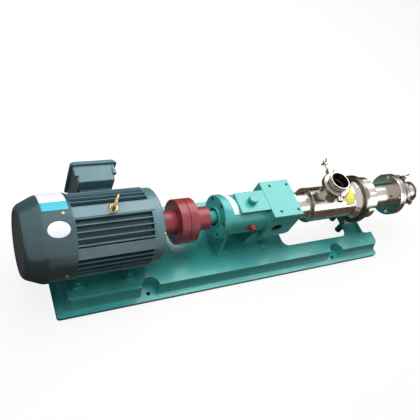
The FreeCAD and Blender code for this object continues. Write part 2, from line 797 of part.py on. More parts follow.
def make_fan_and_cowl():
    hub_start = d.motor_start - 90
    parts = [tube(30, 16, 44, (hub_start, 0, axis_height), "X")]
    plate_start = hub_start + 38
    parts.append(tube(d.fan_radius, 29, 3, (plate_start, 0, axis_height), "X"))
    for number in range(int(d.fan_blades.value)):
        turn = 360.0 * number / d.fan_blades.value
        blade = doc.addObject("Part::Box", "Blade")
        bind(blade, Length=40, Width=3, Height=d.fan_radius - 28)
        cosine = math.cos(math.radians(turn))
        sine = math.sin(math.radians(turn))
        place(blade, (hub_start, -28 * sine, axis_height + 28 * cosine), about_x(turn))
        parts.append(blade)
    node("cooling_fan", fuse(*parts))

    rear = d.motor_start - d.cowl_length
    bend = d.motor_start - d.cowl_straight
    slope = (d.cowl_radius - d.cowl_face) / 3
    run = (bend - rear) / 3
    outer = [
        (d.motor_start + 6, d.cowl_radius), (bend, d.cowl_radius),
        (bend - run, d.cowl_radius - slope * 0.35), (bend - run * 2, d.cowl_radius - slope),
        (rear + run * 0.3, d.cowl_radius - slope * 2.1), (rear, d.cowl_face),
    ]
    inner = [
        (rear + d.cowl_sheet, d.cowl_face - 1), (rear + run * 0.3 + d.cowl_sheet, d.cowl_radius - slope * 2.1 - 2),
        (bend - run * 2, d.cowl_radius - slope - d.cowl_sheet),
        (bend - run, d.cowl_radius - slope * 0.35 - d.cowl_sheet), (bend, d.cowl_radius - d.cowl_sheet),
        (d.motor_start + 6, d.cowl_radius - d.cowl_sheet),
    ]
    points = outer + [(rear, 0), (rear + d.cowl_sheet, 0)] + inner
    shell = turned(points, ON_AXIS)
    slots = []
    for outer_share, count in ((1.0, 18), (0.76, 14), (0.52, 10), (0.28, 6)):
        slots.append(slot_ring(rear, d.grille_radius * outer_share, d.grille_radius * 0.12, count))
    holes = [cylinder(d.cowl_screw + d.bolt_gap, 20, at, along) for at, along in cowl_screw_places(12)]
    node("fan_cowl", cut(shell, *slots, *holes))
    heads = [cylinder(d.cowl_screw * 1.7, 2.5, at, along) for at, along in cowl_screw_places(0)]
    shanks = [cylinder(d.cowl_screw, 15, at, along) for at, along in cowl_screw_places(14)]
    node("cowl_screws", together(*[fuse(head, shank) for head, shank in zip(heads, shanks)]))


def cowl_screw_places(depth):
    """The four screws round the cowl's rim: a point below its surface, and the way that each points."""
    reach = d.cowl_radius - depth
    x = d.motor_start - d.cowl_screw_inset
    return [
        ((x, reach, axis_height), "Y"), ((x, -reach, axis_height), "-Y"),
        ((x, 0, axis_height + reach), "Z"), ((x, 0, axis_height - reach), "-Z"),
    ]


def slot_ring(rear, radius, width, count):
    """A ring of curved slots through the cowl's flat face, parted by spokes."""
    ring = tube(radius, radius - width, 8, (rear - 2, 0, axis_height), "X")
    spokes = []
    for number in range(count):
        turn = 360.0 * number / count
        spoke = doc.addObject("Part::Box", "Spoke")
        bind(spoke, Length=8, Width=5, Height=d.grille_radius + 5)
        cosine = math.cos(math.radians(turn))
        sine = math.sin(math.radians(turn))
        place(spoke, (rear - 2, -2.5 * cosine, axis_height - 2.5 * sine), about_x(turn))
        spokes.append(spoke)
    return cut(ring, *spokes)


def make_terminal_box():
    """Terminal box on the frame's far side: local z points away from the frame."""
    away = about_x(-90)
    seat_y = d.fin_radius + 4
    top = -d.box_rise
    body = new_body("BoxShell")
    sketch = outline(
        body, "XY_Plane", rectangle(0, d.box_length, top, top + d.box_height), 0
    )
    pad = body.newObject("PartDesign::Pad", "Pad")
    pad.Profile = sketch
    bind(pad, Length=d.box_depth, TaperAngle=d.box_flare)
    doc.recompute()
    round_edges(body, pad, as_size(10), upright)
    box_at = (d.motor_start + d.box_start, seat_y, axis_height)
    place(body, box_at, away)
    wall = d.box_wall
    hollow_body = new_body("BoxHollow")
    hollow_sketch = outline(
        hollow_body, "XY_Plane",
        rectangle(wall, d.box_length - wall, top + wall, top + d.box_height - wall), wall,
    )
    hollow = hollow_body.newObject("PartDesign::Pad", "Pad")
    hollow.Profile = hollow_sketch
    bind(hollow, Length=d.box_depth, TaperAngle=d.box_flare)
    place(hollow_body, box_at, away)
    neck = block(
        (d.motor_start + d.box_start + 8, d.frame_root - 8, axis_height - 40),
        (d.motor_start + d.box_start + d.box_length - 8, seat_y, axis_height + 48),
    )
    neck = cut(neck, cylinder(d.fin_radius + 0.3, d.frame_length, (d.motor_start, 0, axis_height), "X"))
    bosses = []
    holes = []
    flare = math.tan(math.radians(d.box_flare.value))
    rim_y = seat_y + d.box_depth
    low_x = d.motor_start + d.box_start - d.box_depth * flare + 6
    high_x = d.motor_start + d.box_start + d.box_length + d.box_depth * flare - 6
    high_z = axis_height + d.box_rise + d.box_depth * flare - 6
    low_z = axis_height + d.box_rise - d.box_height - d.box_depth * flare + 6
    corners = [(x, z) for x in (low_x, high_x) for z in (low_z, high_z)]
    for x, z in corners:
        bosses.append(cylinder(7, d.box_depth - 20, (x, seat_y + 20, z), "Y"))
        holes.append(cylinder(3 + d.bolt_gap, 24, (x, rim_y - 23, z), "Y"))
    gland_x = d.motor_start + d.box_start + d.box_length / 2
    gland_z = axis_height + d.box_rise - d.box_height
    entry = cylinder(16 + d.bolt_gap, 40, (gland_x, seat_y + 30, gland_z + 20), "-Z")
    outer = fuse(cut(body, hollow_body), *bosses, neck)
    limit = block(
        (low_x - 60, seat_y - 30, low_z - 60), (high_x + 60, rim_y, high_z + 60)
    )
    node("terminal_box", cut(common(outer, limit), entry, *holes))

    overhang = d.lid_overhang
    lid_body = new_body("Lid")
    lid_points = rectangle(
        low_x - 6 - overhang, high_x + 6 + overhang, -high_z - 6 - overhang, -low_z + 6 + overhang
    )
    lid_sketch = outline(lid_body, "XY_Plane", lid_points, rim_y)
    lid_pad = lid_body.newObject("PartDesign::Pad", "Pad")
    lid_pad.Profile = lid_sketch
    bind(lid_pad, Length=d.lid_thickness, TaperAngle=-18)
    doc.recompute()
    round_edges(lid_body, lid_pad, as_size(12), upright)
    place(lid_body, (0, 0, 0), away)
    lid_holes = [cylinder(3 + d.bolt_gap, 40, (x, rim_y - 1, z), "Y") for x, z in corners]
    node("terminal_box_lid", cut(lid_body, *lid_holes))
    screws = []
    for x, z in corners:
        shank = cylinder(3, d.lid_thickness + 20, (x, rim_y - 20, z), "Y")
        screws.append(fuse(shank, cylinder(5.5, 4, (x, rim_y + d.lid_thickness, z), "Y")))
    node("terminal_lid_screws", together(*screws))

    gland_y = seat_y + 30
    nut_top = gland_z - (30 + 21) * flare - 0.3
    sleeve = cylinder(16, 20, (gland_x, gland_y, nut_top + 14), "-Z")
    nut = hexagon(21, 10, (gland_x, gland_y, nut_top), "-Z")
    dome = cone(18, 13, 14, (gland_x, gland_y, nut_top - 10), "-Z")
    gland_bore = cylinder(9, 60, (gland_x, gland_y, nut_top + 20), "-Z")
    node("cable_gland", cut(fuse(sleeve, nut, dome), gland_bore))


def make_lifting_eye():
    x = d.motor_start + d.eye_position
    top = axis_height + d.fin_radius
    shank = cylinder(d.eye_thread, 20, (x, 0, top - 19))
    collar = cone(17, 13, 7, (x, 0, top))
    neck = cylinder(9, 12, (x, 0, top + 6))
    halves = []
    for start in (0, 180):
        half = torus(d.eye_ring, d.eye_wire, (x, 0, top + 12 + d.eye_ring), "X")
        half.Angle3 = 180
        half.Placement.Rotation = about_z(d.eye_turn.value).multiply(AXES["X"]).multiply(about_z(start + 90))
        halves.append(half)
    node("eye_bolt", fuse(shank, collar, neck, *halves))


def hex_bolt(radius, grip, at, along="-Z"):
    """A hexagon bolt with its washer: the point given is under the washer, and the shank runs along."""
    x, y, z = at
    parts = {"-Z": ("Z", (x, y, z - grip), (x, y, z), (x, y, z + 2.5))}
    up, foot, seat, head = parts[along]
    shank = cylinder(radius, grip, foot, up)
    washer = cylinder(radius * 2.1, 2.5, seat, up)
    return fuse(shank, washer, hexagon(radius * 1.85, radius * 1.3, head, up))


def make_motor_bolts():
    top = axis_height - d.shaft_height + d.foot_thickness
    node("motor_foot_bolts", together(*[hex_bolt(d.foot_bolt, 34, (x, y, top)) for x, y in foot_bolt_places]))


def make_coupling():
    motor_points = [
        (coupling_start, 0), (coupling_start, d.hub_radius), (motor_disc, d.hub_radius),
        (motor_disc, d.disc_radius), (motor_disc + d.disc_width, d.disc_radius),
        (motor_disc + d.disc_width, 0),
    ]
    pump_points = [
        (pump_disc, 0), (pump_disc, d.disc_radius), (pump_disc + d.disc_width, d.disc_radius),
        (pump_disc + d.disc_width, d.hub_radius), (coupling_end, d.hub_radius), (coupling_end, 0),
    ]
    pins = []
    bushes = []
    motor_holes = []
    pump_holes = []
    bush_start = motor_disc + d.disc_width - d.bush_length
    nut_length = 8
    for y, z in circle_points(int(d.pin_count.value), d.pin_circle):
        z = axis_height + z
        motor_holes.append(cylinder(d.bush_radius, d.bush_length + 1, (bush_start, y, z), "X"))
        pump_holes.append(cylinder(d.pin_radius, d.disc_width + 2, (pump_disc - 1, y, z), "X"))
        bushes.append(tube(d.bush_radius, d.pin_radius, d.bush_length, (bush_start, y, z), "X"))
        pin_length = d.bush_length + d.disc_gap + d.disc_width + nut_length + 3
        shank = cylinder(d.pin_radius, pin_length, (bush_start, y, z), "X")
        nut = hexagon(d.pin_radius * 1.7, nut_length, (pump_disc + d.disc_width, y, z), "X")
        pins.append(fuse(shank, nut))
    node("coupling_pins", together(*pins))
    node("coupling_bushes", together(*bushes))
    motor_bore = cylinder(d.shaft_radius, 200, (coupling_start - 1, 0, axis_height), "X")
    pump_bore = cylinder(d.drive_radius, 200, (pump_disc - 1, 0, axis_height), "X")
    motor_key = coupling_start + 14
    pump_key = coupling_end - 14 - d.key_length
    motor_half = turned(motor_points, ON_AXIS)
    pump_half = turned(pump_points, ON_AXIS)
    node("motor_coupling_half", cut(motor_half, motor_bore, key_block(motor_key, d.shaft_radius), *motor_holes))
    node("pump_coupling_half", cut(pump_half, pump_bore, key_block(pump_key, d.drive_radius), *pump_holes))
    node("shaft_keys", together(key_block(motor_key, d.shaft_radius), key_block(pump_key, d.drive_radius)))
    joint_start = neck_start + 14
    joint_end = joint_start + 62
    shaft_points = [
        (pump_disc + 4, 0), (pump_disc + 4, d.drive_radius), (joint_start, d.drive_radius),
        (joint_start, d.rod_head + 12), (joint_end, d.rod_head + 12), (joint_end, d.rod_head + d.rod_gap),
        (joint_start + 12, d.rod_head + d.rod_gap), (joint_start + 12, 0),
    ]
    drive = turned(shaft_points, ON_AXIS)
    node("drive_shaft", cut(drive, key_block(pump_key, d.drive_radius)))


def make_bearing_housing():
    """Cast housing: flanged barrel, flat roof, open lantern, webs and foot in one piece."""
    flange = cylinder(d.flange_radius, d.flange_width, (flange_start, 0, axis_height), "X")
    barrel = cylinder(d.barrel_radius, d.barrel_length + 2, (barrel_start - 2, 0, axis_height), "X")
    roof_top = axis_height + d.roof_rise
    plate_under = roof_top - d.plate_thickness
    roof = block(
        (barrel_start + d.roof_start, -d.roof_width / 2, roof_top - d.roof_thickness),
        (lantern_start, d.roof_width / 2, roof_top),
    )
    pedestal_end = pedestal_start + d.pedestal_length
    shoulder = axis_height - d.lantern_width * 0.39
    knee = axis_height - d.neck_radius
    head = straddling(d.lantern_width, [
        (lantern_start, plate_under), (lantern_end, plate_under), (lantern_end, knee),
        (lantern_end - 14, shoulder), (lantern_start, shoulder),
    ])
    leg = straddling(d.lantern_width * 0.66, [
        (lantern_start, knee), (lantern_end, knee), (lantern_end - 14, shoulder),
        (pedestal_end, foot_level + 34), (pedestal_end, foot_level), (lantern_start - 22, foot_level),
        (lantern_start - 22, foot_level + 34),
    ])
    body = fuse(head, leg)
    wall = d.lantern_wall
    inside = fuse(
        block(
            (lantern_start + wall, -d.lantern_width / 2 + wall, shoulder + wall),
            (lantern_end - wall, d.lantern_width / 2 - wall, plate_under + 1),
        ),
        block(
            (lantern_start + wall, -d.lantern_width * 0.33 + wall, foot_level + d.pedestal_foot + 40),
            (lantern_end - 50, d.lantern_width * 0.33 - wall, shoulder + wall + 1),
        ),
    )
    side_bosses = [
        block((x - 10, side - 10, plate_under - 20), (x + 10, side + 16, plate_under))
        for x, y in cover_screw_places
        for side in ([y] if y.value > 0 else [y - 6])
    ]
    foot = block(
        (pedestal_start, -d.pedestal_width / 2, foot_level),
        (pedestal_end, d.pedestal_width / 2, foot_level + d.pedestal_foot),
    )
    web_points = [
        (-d.pedestal_width / 2, foot_level), (d.pedestal_width / 2, foot_level),
        (d.pedestal_width / 2, foot_level + d.pedestal_foot),
        (d.barrel_radius - 6, axis_height - 30), (-d.barrel_radius + 6, axis_height - 30),
        (-d.pedestal_width / 2, foot_level + d.pedestal_foot),
    ]
    front_web = padded("YZ_Plane", web_points, pedestal_start, d.pedestal_web)
    spine = block(
        (pedestal_start, -d.pedestal_web / 2, foot_level), (lantern_start + 1, d.pedestal_web / 2, axis_height - 40)
    )
    blank = fuse(cut(body, inside), flange, barrel, roof, foot, front_web, spine, *side_bosses)
    bore = [
        (flange_start - 1, 0), (flange_start - 1, d.drive_bearing), (lantern_start - 14, d.drive_bearing),
        (lantern_start - 14, d.drive_radius + 4), (lantern_start + wall + 1, d.drive_radius + 4),
        (lantern_start + wall + 1, 0),
    ]
    front_bore = cylinder(d.seal_radius + 6 + d.bolt_gap, 40, (lantern_end - 20, 0, axis_height), "X")
    access = cylinder(d.window_radius, 300, (lantern_start + d.lantern_length * 0.38, -150, axis_height - 6), "Y")
    screw_holes = [
        cylinder(4 + d.bolt_gap, 30, (flange_start - 1, y, axis_height + z), "X")
        for y, z in circle_points(6, (d.flange_radius + d.drive_bearing) / 2, 30)
    ]
    plate_holes = [cylinder(2.5 + d.bolt_gap, 18, (x, y, plate_under - 17)) for x, y in cover_screw_places]
    foot_holes = [
        cylinder(d.housing_bolt + d.bolt_gap, 40, (x, y, foot_level - 5)) for x, y in housing_bolt_places
    ]
    casing_holes = [
        cylinder(4 + d.bolt_gap, 30, (lantern_end - 24, y, axis_height + z), "X")
        for y, z in circle_points(4, (d.casing_flange + d.neck_radius) / 2, 45)
    ]
    cup_hole = cylinder(6 + d.bolt_gap, 60, (cup_x(), 0, roof_top - 40))
    plug_hole = cylinder(8 + d.bolt_gap, 60, (sight_x(), -d.barrel_radius - 20, axis_height + d.sight_rise), "Y")
    node("bearing_housing", cut(
        blank, turned(bore, ON_AXIS), front_bore, access, cup_hole, plug_hole,
        *screw_holes, *plate_holes, *foot_holes, *casing_holes,
    ))


def straddling(width, points):
    """A body of one section in the plane of the shaft, half of its width on each side."""
    body = new_body("Straddling")
    pad = body.newObject("PartDesign::Pad", "Pad")
    pad.Profile = outline(body, "XZ_Plane", points)
    pad.Midplane = True
    bind(pad, Length=width)
    return body


def cup_x():
    return lantern_start - 67


def sight_x():
    return lantern_start - d.sight_inset


def make_housing_parts():
    cover_points = [
        (cover_start - 6, d.drive_radius + 9), (cover_start - 6, d.drive_radius + 15),
        (cover_start, d.drive_radius + 15), (cover_start, d.flange_radius - 3),
        (cover_start + 3, d.flange_radius), (flange_start, d.flange_radius),
        (flange_start, d.drive_bearing), (flange_start + 5, d.drive_bearing),
        (flange_start + 5, d.drive_bearing - 8), (flange_start, d.drive_bearing - 8),
        (flange_start, d.drive_radius + 9),
    ]
    cover = turned(cover_points, ON_AXIS)
    screw_circle = (d.flange_radius + d.drive_bearing) / 2
    holes = [
        cylinder(4 + d.bolt_gap, 60, (cover_start - 10, y, axis_height + z), "X")
        for y, z in circle_points(6, screw_circle, 30)
    ]
    screws = []
    for y, z in circle_points(6, screw_circle, 30):
        z = axis_height + z
        holes.append(cylinder(7, 9, (cover_start - 2, y, z), "X"))
        shank = cylinder(4, d.cover_thickness + 5, (cover_start + 6, y, z), "X")
        head = cylinder(6.5, 6, (cover_start + 1, y, z), "X")
        screws.append(cut(fuse(shank, head), hexagon(3.6, 4, (cover_start, y, z), "X")))
    node("bearing_cover", cut(cover, *holes))
    seal_start = cover_start - 3
    node("oil_seal", tube(d.drive_radius + 9, d.drive_radius + d.running_gap, 10, (seal_start, 0, axis_height), "X"))
    rear = lantern_start - 14 - d.drive_bearing_width
    node("drive_bearings", together(*[
        tube(d.drive_bearing, d.drive_radius + d.running_gap, d.drive_bearing_width, (start, 0, axis_height), "X")
        for start in (flange_start + 5, rear)
    ]))
    roof_top = axis_height + d.roof_rise
    body = new_body("CoverPlate")
    sketch = outline(
        body, "XY_Plane",
        rectangle(lantern_start, lantern_end, -d.lantern_width / 2, d.lantern_width / 2),
        roof_top - d.plate_thickness,
    )
    pad = body.newObject("PartDesign::Pad", "Pad")
    pad.Profile = sketch
    bind(pad, Length=d.plate_thickness)
    slab_clear = block(
        (lantern_start - 5, -d.roof_width / 2 - 0.5, roof_top - d.plate_thickness - 1),
        (lantern_start + d.bolt_gap, d.roof_width / 2 + 0.5, roof_top + 1),
    )
    plate_holes = [cylinder(2.5 + d.bolt_gap, 60, (x, y, roof_top - 40)) for x, y in cover_screw_places]
    plate_holes += [cylinder(5.5, 6, (x, y, roof_top - 4)) for x, y in cover_screw_places]
    node("top_cover_plate", cut(body, slab_clear, *plate_holes))
    screws += [
        cut(fuse(cylinder(2.5, d.plate_thickness + 8, (x, y, roof_top - d.plate_thickness - 12)),
                 cylinder(5, 3, (x, y, roof_top - 4))),
            hexagon(2.6, 3, (x, y, roof_top - 2.5)))
        for x, y in cover_screw_places
    ]
    node("cover_screws", together(*screws))
    cup_points = [
        (0, -24), (6, -24), (6, 0), (d.cup_radius - 1, 0), (d.cup_radius - 1, d.cup_height - 3),
        (8, d.cup_height - 3), (8, d.cup_height + 3), (0, d.cup_height + 3),
    ]
    node("grease_cup", turned(cup_points, (cup_x(), 0, roof_top), "V_Axis"))
    gap = d.running_gap
    cap_points = [
        (0, d.cup_height + 3 + gap), (8 + gap, d.cup_height + 3 + gap), (8 + gap, d.cup_height - 3 + gap),
        (d.cup_radius, d.cup_height - 3 + gap), (d.cup_radius, d.cup_height + d.cap_height - 6),
        (d.cup_radius - 2, d.cup_height + d.cap_height - 3), (0, d.cup_height + d.cap_height - 3),
    ]
    node("grease_cup_cap", turned(cap_points, (cup_x(), 0, roof_top), "V_Axis"))
    plug_z = axis_height + d.sight_rise
    plug_face = -d.barrel_radius - 8
    node("oil_plug", fuse(
        cylinder(d.sight_radius, 8, (sight_x(), plug_face, plug_z), "Y"),
        hexagon(d.sight_radius - 2, 7, (sight_x(), plug_face - 7, plug_z), "Y"),
        cylinder(8, 22, (sight_x(), plug_face + 7, plug_z), "Y"),
    ))
    node("housing_foot_bolts", together(*[
        hex_bolt(d.housing_bolt, 38, (x, y, foot_level + d.pedestal_foot)) for x, y in housing_bolt_places
    ]))


def make_shaft_seal():
    """Stuffing box: packing rings in the casing's rear sleeve, pressed by a gland on two studs."""
    sleeve_start = lantern_end - 36
    ring_width = d.packing_length / 4
    node("packing_rings", together(*[
        tube(d.seal_radius, d.drive_radius + d.running_gap, ring_width - 0.2,
             (sleeve_start + 4.9 + ring_width * number, 0, axis_height), "X")
        for number in range(4)
    ]))
    bore = d.drive_radius + d.running_gap + 0.4
    plate_end = sleeve_start - 4
    gland = fuse(
        tube(d.seal_radius - 0.2, bore, 8.7, (sleeve_start - 4, 0, axis_height), "X"),
        cut(
            block((plate_end - 9, -d.seal_radius - 24, axis_height - 22), (plate_end, d.seal_radius + 24, axis_height + 22)),
            cylinder(bore, 20, (plate_end - 12, 0, axis_height), "X"),
        ),
    )
    stud_places = [(side * (d.seal_radius + 14), 0) for side in (-1, 1)]
    holes = [cylinder(4 + d.bolt_gap, 40, (plate_end - 30, y, axis_height), "X") for y, z in stud_places]
    node("seal_gland", cut(gland, *holes))
    studs = []
    for y, z in stud_places:
        stud = cylinder(4, 52, (plate_end - 22, y, axis_height), "X")
        studs.append(fuse(stud, hexagon(8, 7, (plate_end - 16, y, axis_height), "X")))
    node("gland_studs", together(*studs))


def make_suction_casing():
    """Stainless casing: neck with its stuffing box, straight chamber, bell and the upright nozzle."""
    wall = d.casing_wall
    sleeve_start = lantern_end - 36
    rear_face = lantern_end
    points = [
        (sleeve_start, d.seal_radius), (sleeve_start, d.seal_radius + 6), (rear_face, d.seal_radius + 6),
        (rear_face, d.casing_flange), (neck_start, d.casing_flange), (neck_start, d.neck_radius),
        (casing_start - 7, d.neck_radius), (casing_start, d.casing_radius),
        (bell_start, d.casing_radius), (bell_start + 8, d.casing_radius + 4),
        (ring_start - 6, d.bell_radius), (ring_start, d.bell_radius),
        (ring_start, d.casing_radius - wall), (casing_start + 2, d.casing_radius - wall),
        (casing_start - 5, d.neck_radius - wall), (neck_start + 6, d.neck_radius - wall),
        (neck_start + 6, d.drive_radius + 2), (neck_start - 1, d.drive_radius + 2),
        (neck_start - 1, d.seal_radius),
    ]
    shell = turned(points, ON_AXIS)
    seam = tube(d.casing_radius + 1.5, d.casing_radius - 1, 5, (casing_start, 0, axis_height), "X")
    under_joint = nozzle_joint - d.gasket_width / 2
    pipe = cylinder(d.port_radius, d.nozzle_rise - d.gasket_width / 2, (nozzle_x, 0, axis_height))
    ferrule = ferrule_disc((nozzle_x, 0, under_joint), "-Z")
    bore = cylinder(d.port_bore, d.nozzle_rise + 40, (nozzle_x, 0, axis_height))
    chamber = cylinder(d.casing_radius - wall, d.casing_length + 10, (casing_start + 2, 0, axis_height), "X")
    bolt_circle = (d.casing_flange + d.neck_radius) / 2
    holes = [
        cylinder(4 + d.bolt_gap, 40, (lantern_end - 5, y, axis_height + z), "X")
        for y, z in circle_points(4, bolt_circle, 45)
    ]
    studs = [
        cylinder(4 + d.bolt_gap, 20, (sleeve_start - 2, side * (d.seal_radius + 14), axis_height), "X")
        for side in (-1, 1)
    ]
    node("suction_casing", cut(fuse(shell, seam, pipe, ferrule), bore, chamber, *holes, *studs))
    bolts = []
    for y, z in circle_points(4, bolt_circle, 45):
        at_z = axis_height + z
        shank = cylinder(4, 32, (neck_start - 28, y, at_z), "X")
        bolts.append(fuse(shank, hexagon(7.4, 6, (neck_start, y, at_z), "X")))
    node("casing_bolts", together(*bolts))
    stub = fuse(
        cylinder(d.port_radius, d.stub_rise - d.gasket_width / 2, (nozzle_x, 0, nozzle_joint + d.gasket_width / 2)),
        ferrule_disc((nozzle_x, 0, nozzle_joint + d.gasket_width / 2), "Z"),
        tube(d.port_radius + 1.2, d.port_bore, 4, (nozzle_x, 0, nozzle_joint + d.stub_rise - 4)),
    )
    node("suction_stub", cut(stub, cylinder(d.port_bore, 80, (nozzle_x, 0, nozzle_joint - 5))))


def ferrule_disc(at, along):
    """A ferrule: a flat rim whose back falls away to the pipe."""
    rim = cylinder(d.ferrule_radius, d.ferrule_width / 2, at, along)
    x, y, z = at
    half = d.ferrule_width / 2
    moves = {"X": (x + half, y, z), "-X": (x - half, y, z), "Z": (x, y, z + half), "-Z": (x, y, z - half)}
    return fuse(rim, cone(d.ferrule_radius, d.port_radius + 1, half, moves[along], along))


def make_stator():
    wall = d.tube_wall
    collar = [
        (ring_start + d.bolt_gap, d.tube_radius - wall), (ring_start + d.bolt_gap, d.casing_radius + 4),
        (nut_start + 8, d.casing_radius + 4), (nut_start + 8, d.tube_radius),
        (pair_start, d.tube_radius), (pair_start, d.pair_radius), (pair_middle - d.gasket_width / 2, d.pair_radius),
        (pair_middle - d.gasket_width / 2, d.tube_radius - wall),
    ]
    tube_blank = turned(collar, ON_AXIS)
    pair_holes = [
        cylinder(d.pair_bolt + d.bolt_gap, 80, (pair_start - 20, y, axis_height + z), "X")
        for y, z in circle_points(4, d.pair_circle, 45)
    ]
    node("stator_tube", cut(tube_blank, *pair_holes))
    ring = [
        (ring_start, d.casing_radius + 4.4), (ring_start, d.ring_radius - 3), (ring_start + 3, d.ring_radius),
        (nut_start - 3, d.ring_radius), (nut_start, d.ring_radius - 3), (nut_start, d.casing_radius + 4.4),
    ]
    node("clamping_ring", turned(ring, ON_AXIS))
    nut = [
        (nut_start, d.casing_radius + 4.4), (nut_start, d.nut_radius), (nut_end - 8, d.nut_radius),
        (nut_end, d.nut_radius - 8), (nut_end, d.tube_radius + 4), (nut_start + 8.4, d.tube_radius + 4),
        (nut_start + 8.4, d.casing_radius + 4.4),
    ]
    slots = [
        cylinder(9, d.nut_width - 16, (nut_start + 16, y, axis_height + z), "X")
        for y, z in circle_points(int(d.nut_slots.value), d.nut_radius + 3, 22.5)
    ]
    node("union_nut", cut(turned(nut, ON_AXIS), *slots))


def make_rotor_and_rubber():
    """Single-helix rotor and the two-start rubber around it, swept from the sheet's sizes."""
    pitch = d.rotor_pitch.value
    length = pair_middle.value - d.gasket_width.value / 2 - ring_start.value - 12
    start_x = ring_start.value + 6
    along_shaft = FreeCAD.Rotation(V(1, 1, 1), 120)
    radius = d.rotor_radius.value
    offset = d.orbit.value
    gap = d.rotor_gap.value

    rotor_length = length + 6
    lead = 7
    spine = Part.makeHelix(pitch, rotor_length + lead, offset)
    circle = Part.Wire(Part.makeCircle(radius, V(offset, 0, 0), V(0, 0, 1)))
    sweep = Part.BRepOffsetAPI.MakePipeShell(Part.Wire(spine))
    sweep.setTrihedronMode(V(0, 0, 0), V(0, 0, 1))
    sweep.add(circle)
    sweep.build()
    sweep.makeSolid()
    helix = sweep.shape()
    helix.rotate(V(0, 0, 0), V(0, 0, 1), -360.0 * lead / pitch)
    helix.translate(V(0, 0, -lead))
    shank = Part.makeCylinder(offset + radius - 4, 26, V(0, 0, -30), V(0, 0, 1))
    cup = Part.makeCylinder(d.rod_head.value + 10, 66, V(0, 0, -92), V(0, 0, 1))
    cup_hole = Part.makeCylinder(d.rod_head.value + d.rod_gap.value, 54, V(0, 0, -92), V(0, 0, 1))
    rotor = helix.fuse(shank).fuse(cup.cut(cup_hole))
    thing = doc.addObject("Part::Feature", "PumpRotor")
    thing.Shape = rotor
    thing.Placement = FreeCAD.Placement(
        V(start_x, offset, axis_height.value), along_shaft
    )
    node("pump_rotor", thing)

    half = 2 * offset
    width = radius + gap
    top = Part.LineSegment(V(-half, width, 0), V(half, width, 0)).toShape()
    right = Part.Arc(V(half, width, 0), V(half + width, 0, 0), V(half, -width, 0)).toShape()
    bottom = Part.LineSegment(V(half, -width, 0), V(-half, -width, 0)).toShape()
    left = Part.Arc(V(-half, -width, 0), V(-half - width, 0, 0), V(-half, width, 0)).toShape()
    slot = Part.Wire([top, right, bottom, left])
    line = Part.Wire(Part.makeLine(V(0, 0, 0), V(0, 0, length)))
    guide = Part.Wire(Part.makeHelix(2 * pitch, length, 10))
    twist = Part.BRepOffsetAPI.MakePipeShell(line)
    twist.setAuxiliarySpine(guide, True, 0)
    twist.add(slot)
    twist.build()
    twist.makeSolid()
    rubber_radius = d.tube_radius.value - d.tube_wall.value
    rubber = Part.makeCylinder(rubber_radius, length).cut(twist.shape())
    thing = doc.addObject("Part::Feature", "StatorRubber")
    thing.Shape = rubber
    thing.Placement = FreeCAD.Placement(V(start_x, 0, axis_height.value), along_shaft)
    node("stator_rubber", thing)

    rod_start = neck_start + 40
    rod_length = as_size(start_x - 60) - rod_start
    head = d.rod_head
    points = [
        (-12, 0), (-12, head - 6), (-6, head), (6, head), (12, head - 6), (12, d.rod_radius),
        (rod_length - 12, d.rod_radius), (rod_length - 12, head - 6), (rod_length - 6, head),
        (rod_length + 6, head), (rod_length + 12, head - 6), (rod_length + 12, 0),
    ]
    tilt = math.degrees(math.atan2(offset, rod_length.value))
    node("coupling_rod", turned(points, (rod_start, 0, axis_height), "H_Axis", about_z(tilt)))


def make_discharge():
    bore_start = pair_middle + d.gasket_width / 2
    points = [
        (bore_start, d.tube_radius - 6), (bore_start, d.pair_radius), (pair_end, d.pair_radius),
        (pair_end, d.tube_radius + 4), (pair_end + 6, d.tube_radius - 2), (ferrule_start - 12, d.port_radius),
        (ferrule_start, d.port_radius), (ferrule_start, d.port_bore), (ferrule_start - 12, d.port_bore),
    ]
    blank = fuse(turned(points, ON_AXIS), ferrule_disc((ferrule_start + d.ferrule_width, 0, axis_height), "-X"))
    holes = [
        cylinder(d.pair_bolt + d.bolt_gap, 80, (pair_start - 20, y, axis_height + z), "X")
        for y, z in circle_points(4, d.pair_circle, 45)
    ]
    bore = cylinder(d.port_bore, 60, (ferrule_start - 2, 0, axis_height), "X")
    node("discharge_body", cut(blank, bore, *holes))
    bolts = []
    for y, z in circle_points(4, d.pair_circle, 45):
        z = axis_height + z
        shank = cylinder(d.pair_bolt, d.pair_width * 2 + 14, (pair_start, y, z), "X")
        head = hexagon(d.pair_bolt * 1.85, 8, (pair_start - 8, y, z), "X")
        nut = hexagon(d.pair_bolt * 1.85, 10, (pair_end, y, z), "X")
        bolts.append(fuse(shank, head, nut))
    node("flange_bolts", together(*bolts))
    stub = fuse(
        cylinder(d.port_radius, d.outlet_length, (outlet_start, 0, axis_height), "X"),
        ferrule_disc((outlet_start, 0, axis_height), "X"),
        ferrule_disc((outlet_end, 0, axis_height), "-X"),
    )
    node("outlet_stub", cut(stub, cylinder(d.port_bore, 90, (outlet_start - 5, 0, axis_height), "X")))
    gasket = d.gasket_width
    flange_gasket = tube(
        d.pair_circle - 10, d.tube_radius - 3, gasket, (pair_middle - gasket / 2, 0, axis_height), "X"
    )
    node("joint_gaskets", together(
        flange_gasket,
        tube(d.ferrule_radius, d.port_bore, gasket, (discharge_joint - gasket / 2, 0, axis_height), "X"),
        tube(d.ferrule_radius, d.port_bore, gasket, (nozzle_x, 0, nozzle_joint - gasket / 2)),
    ))


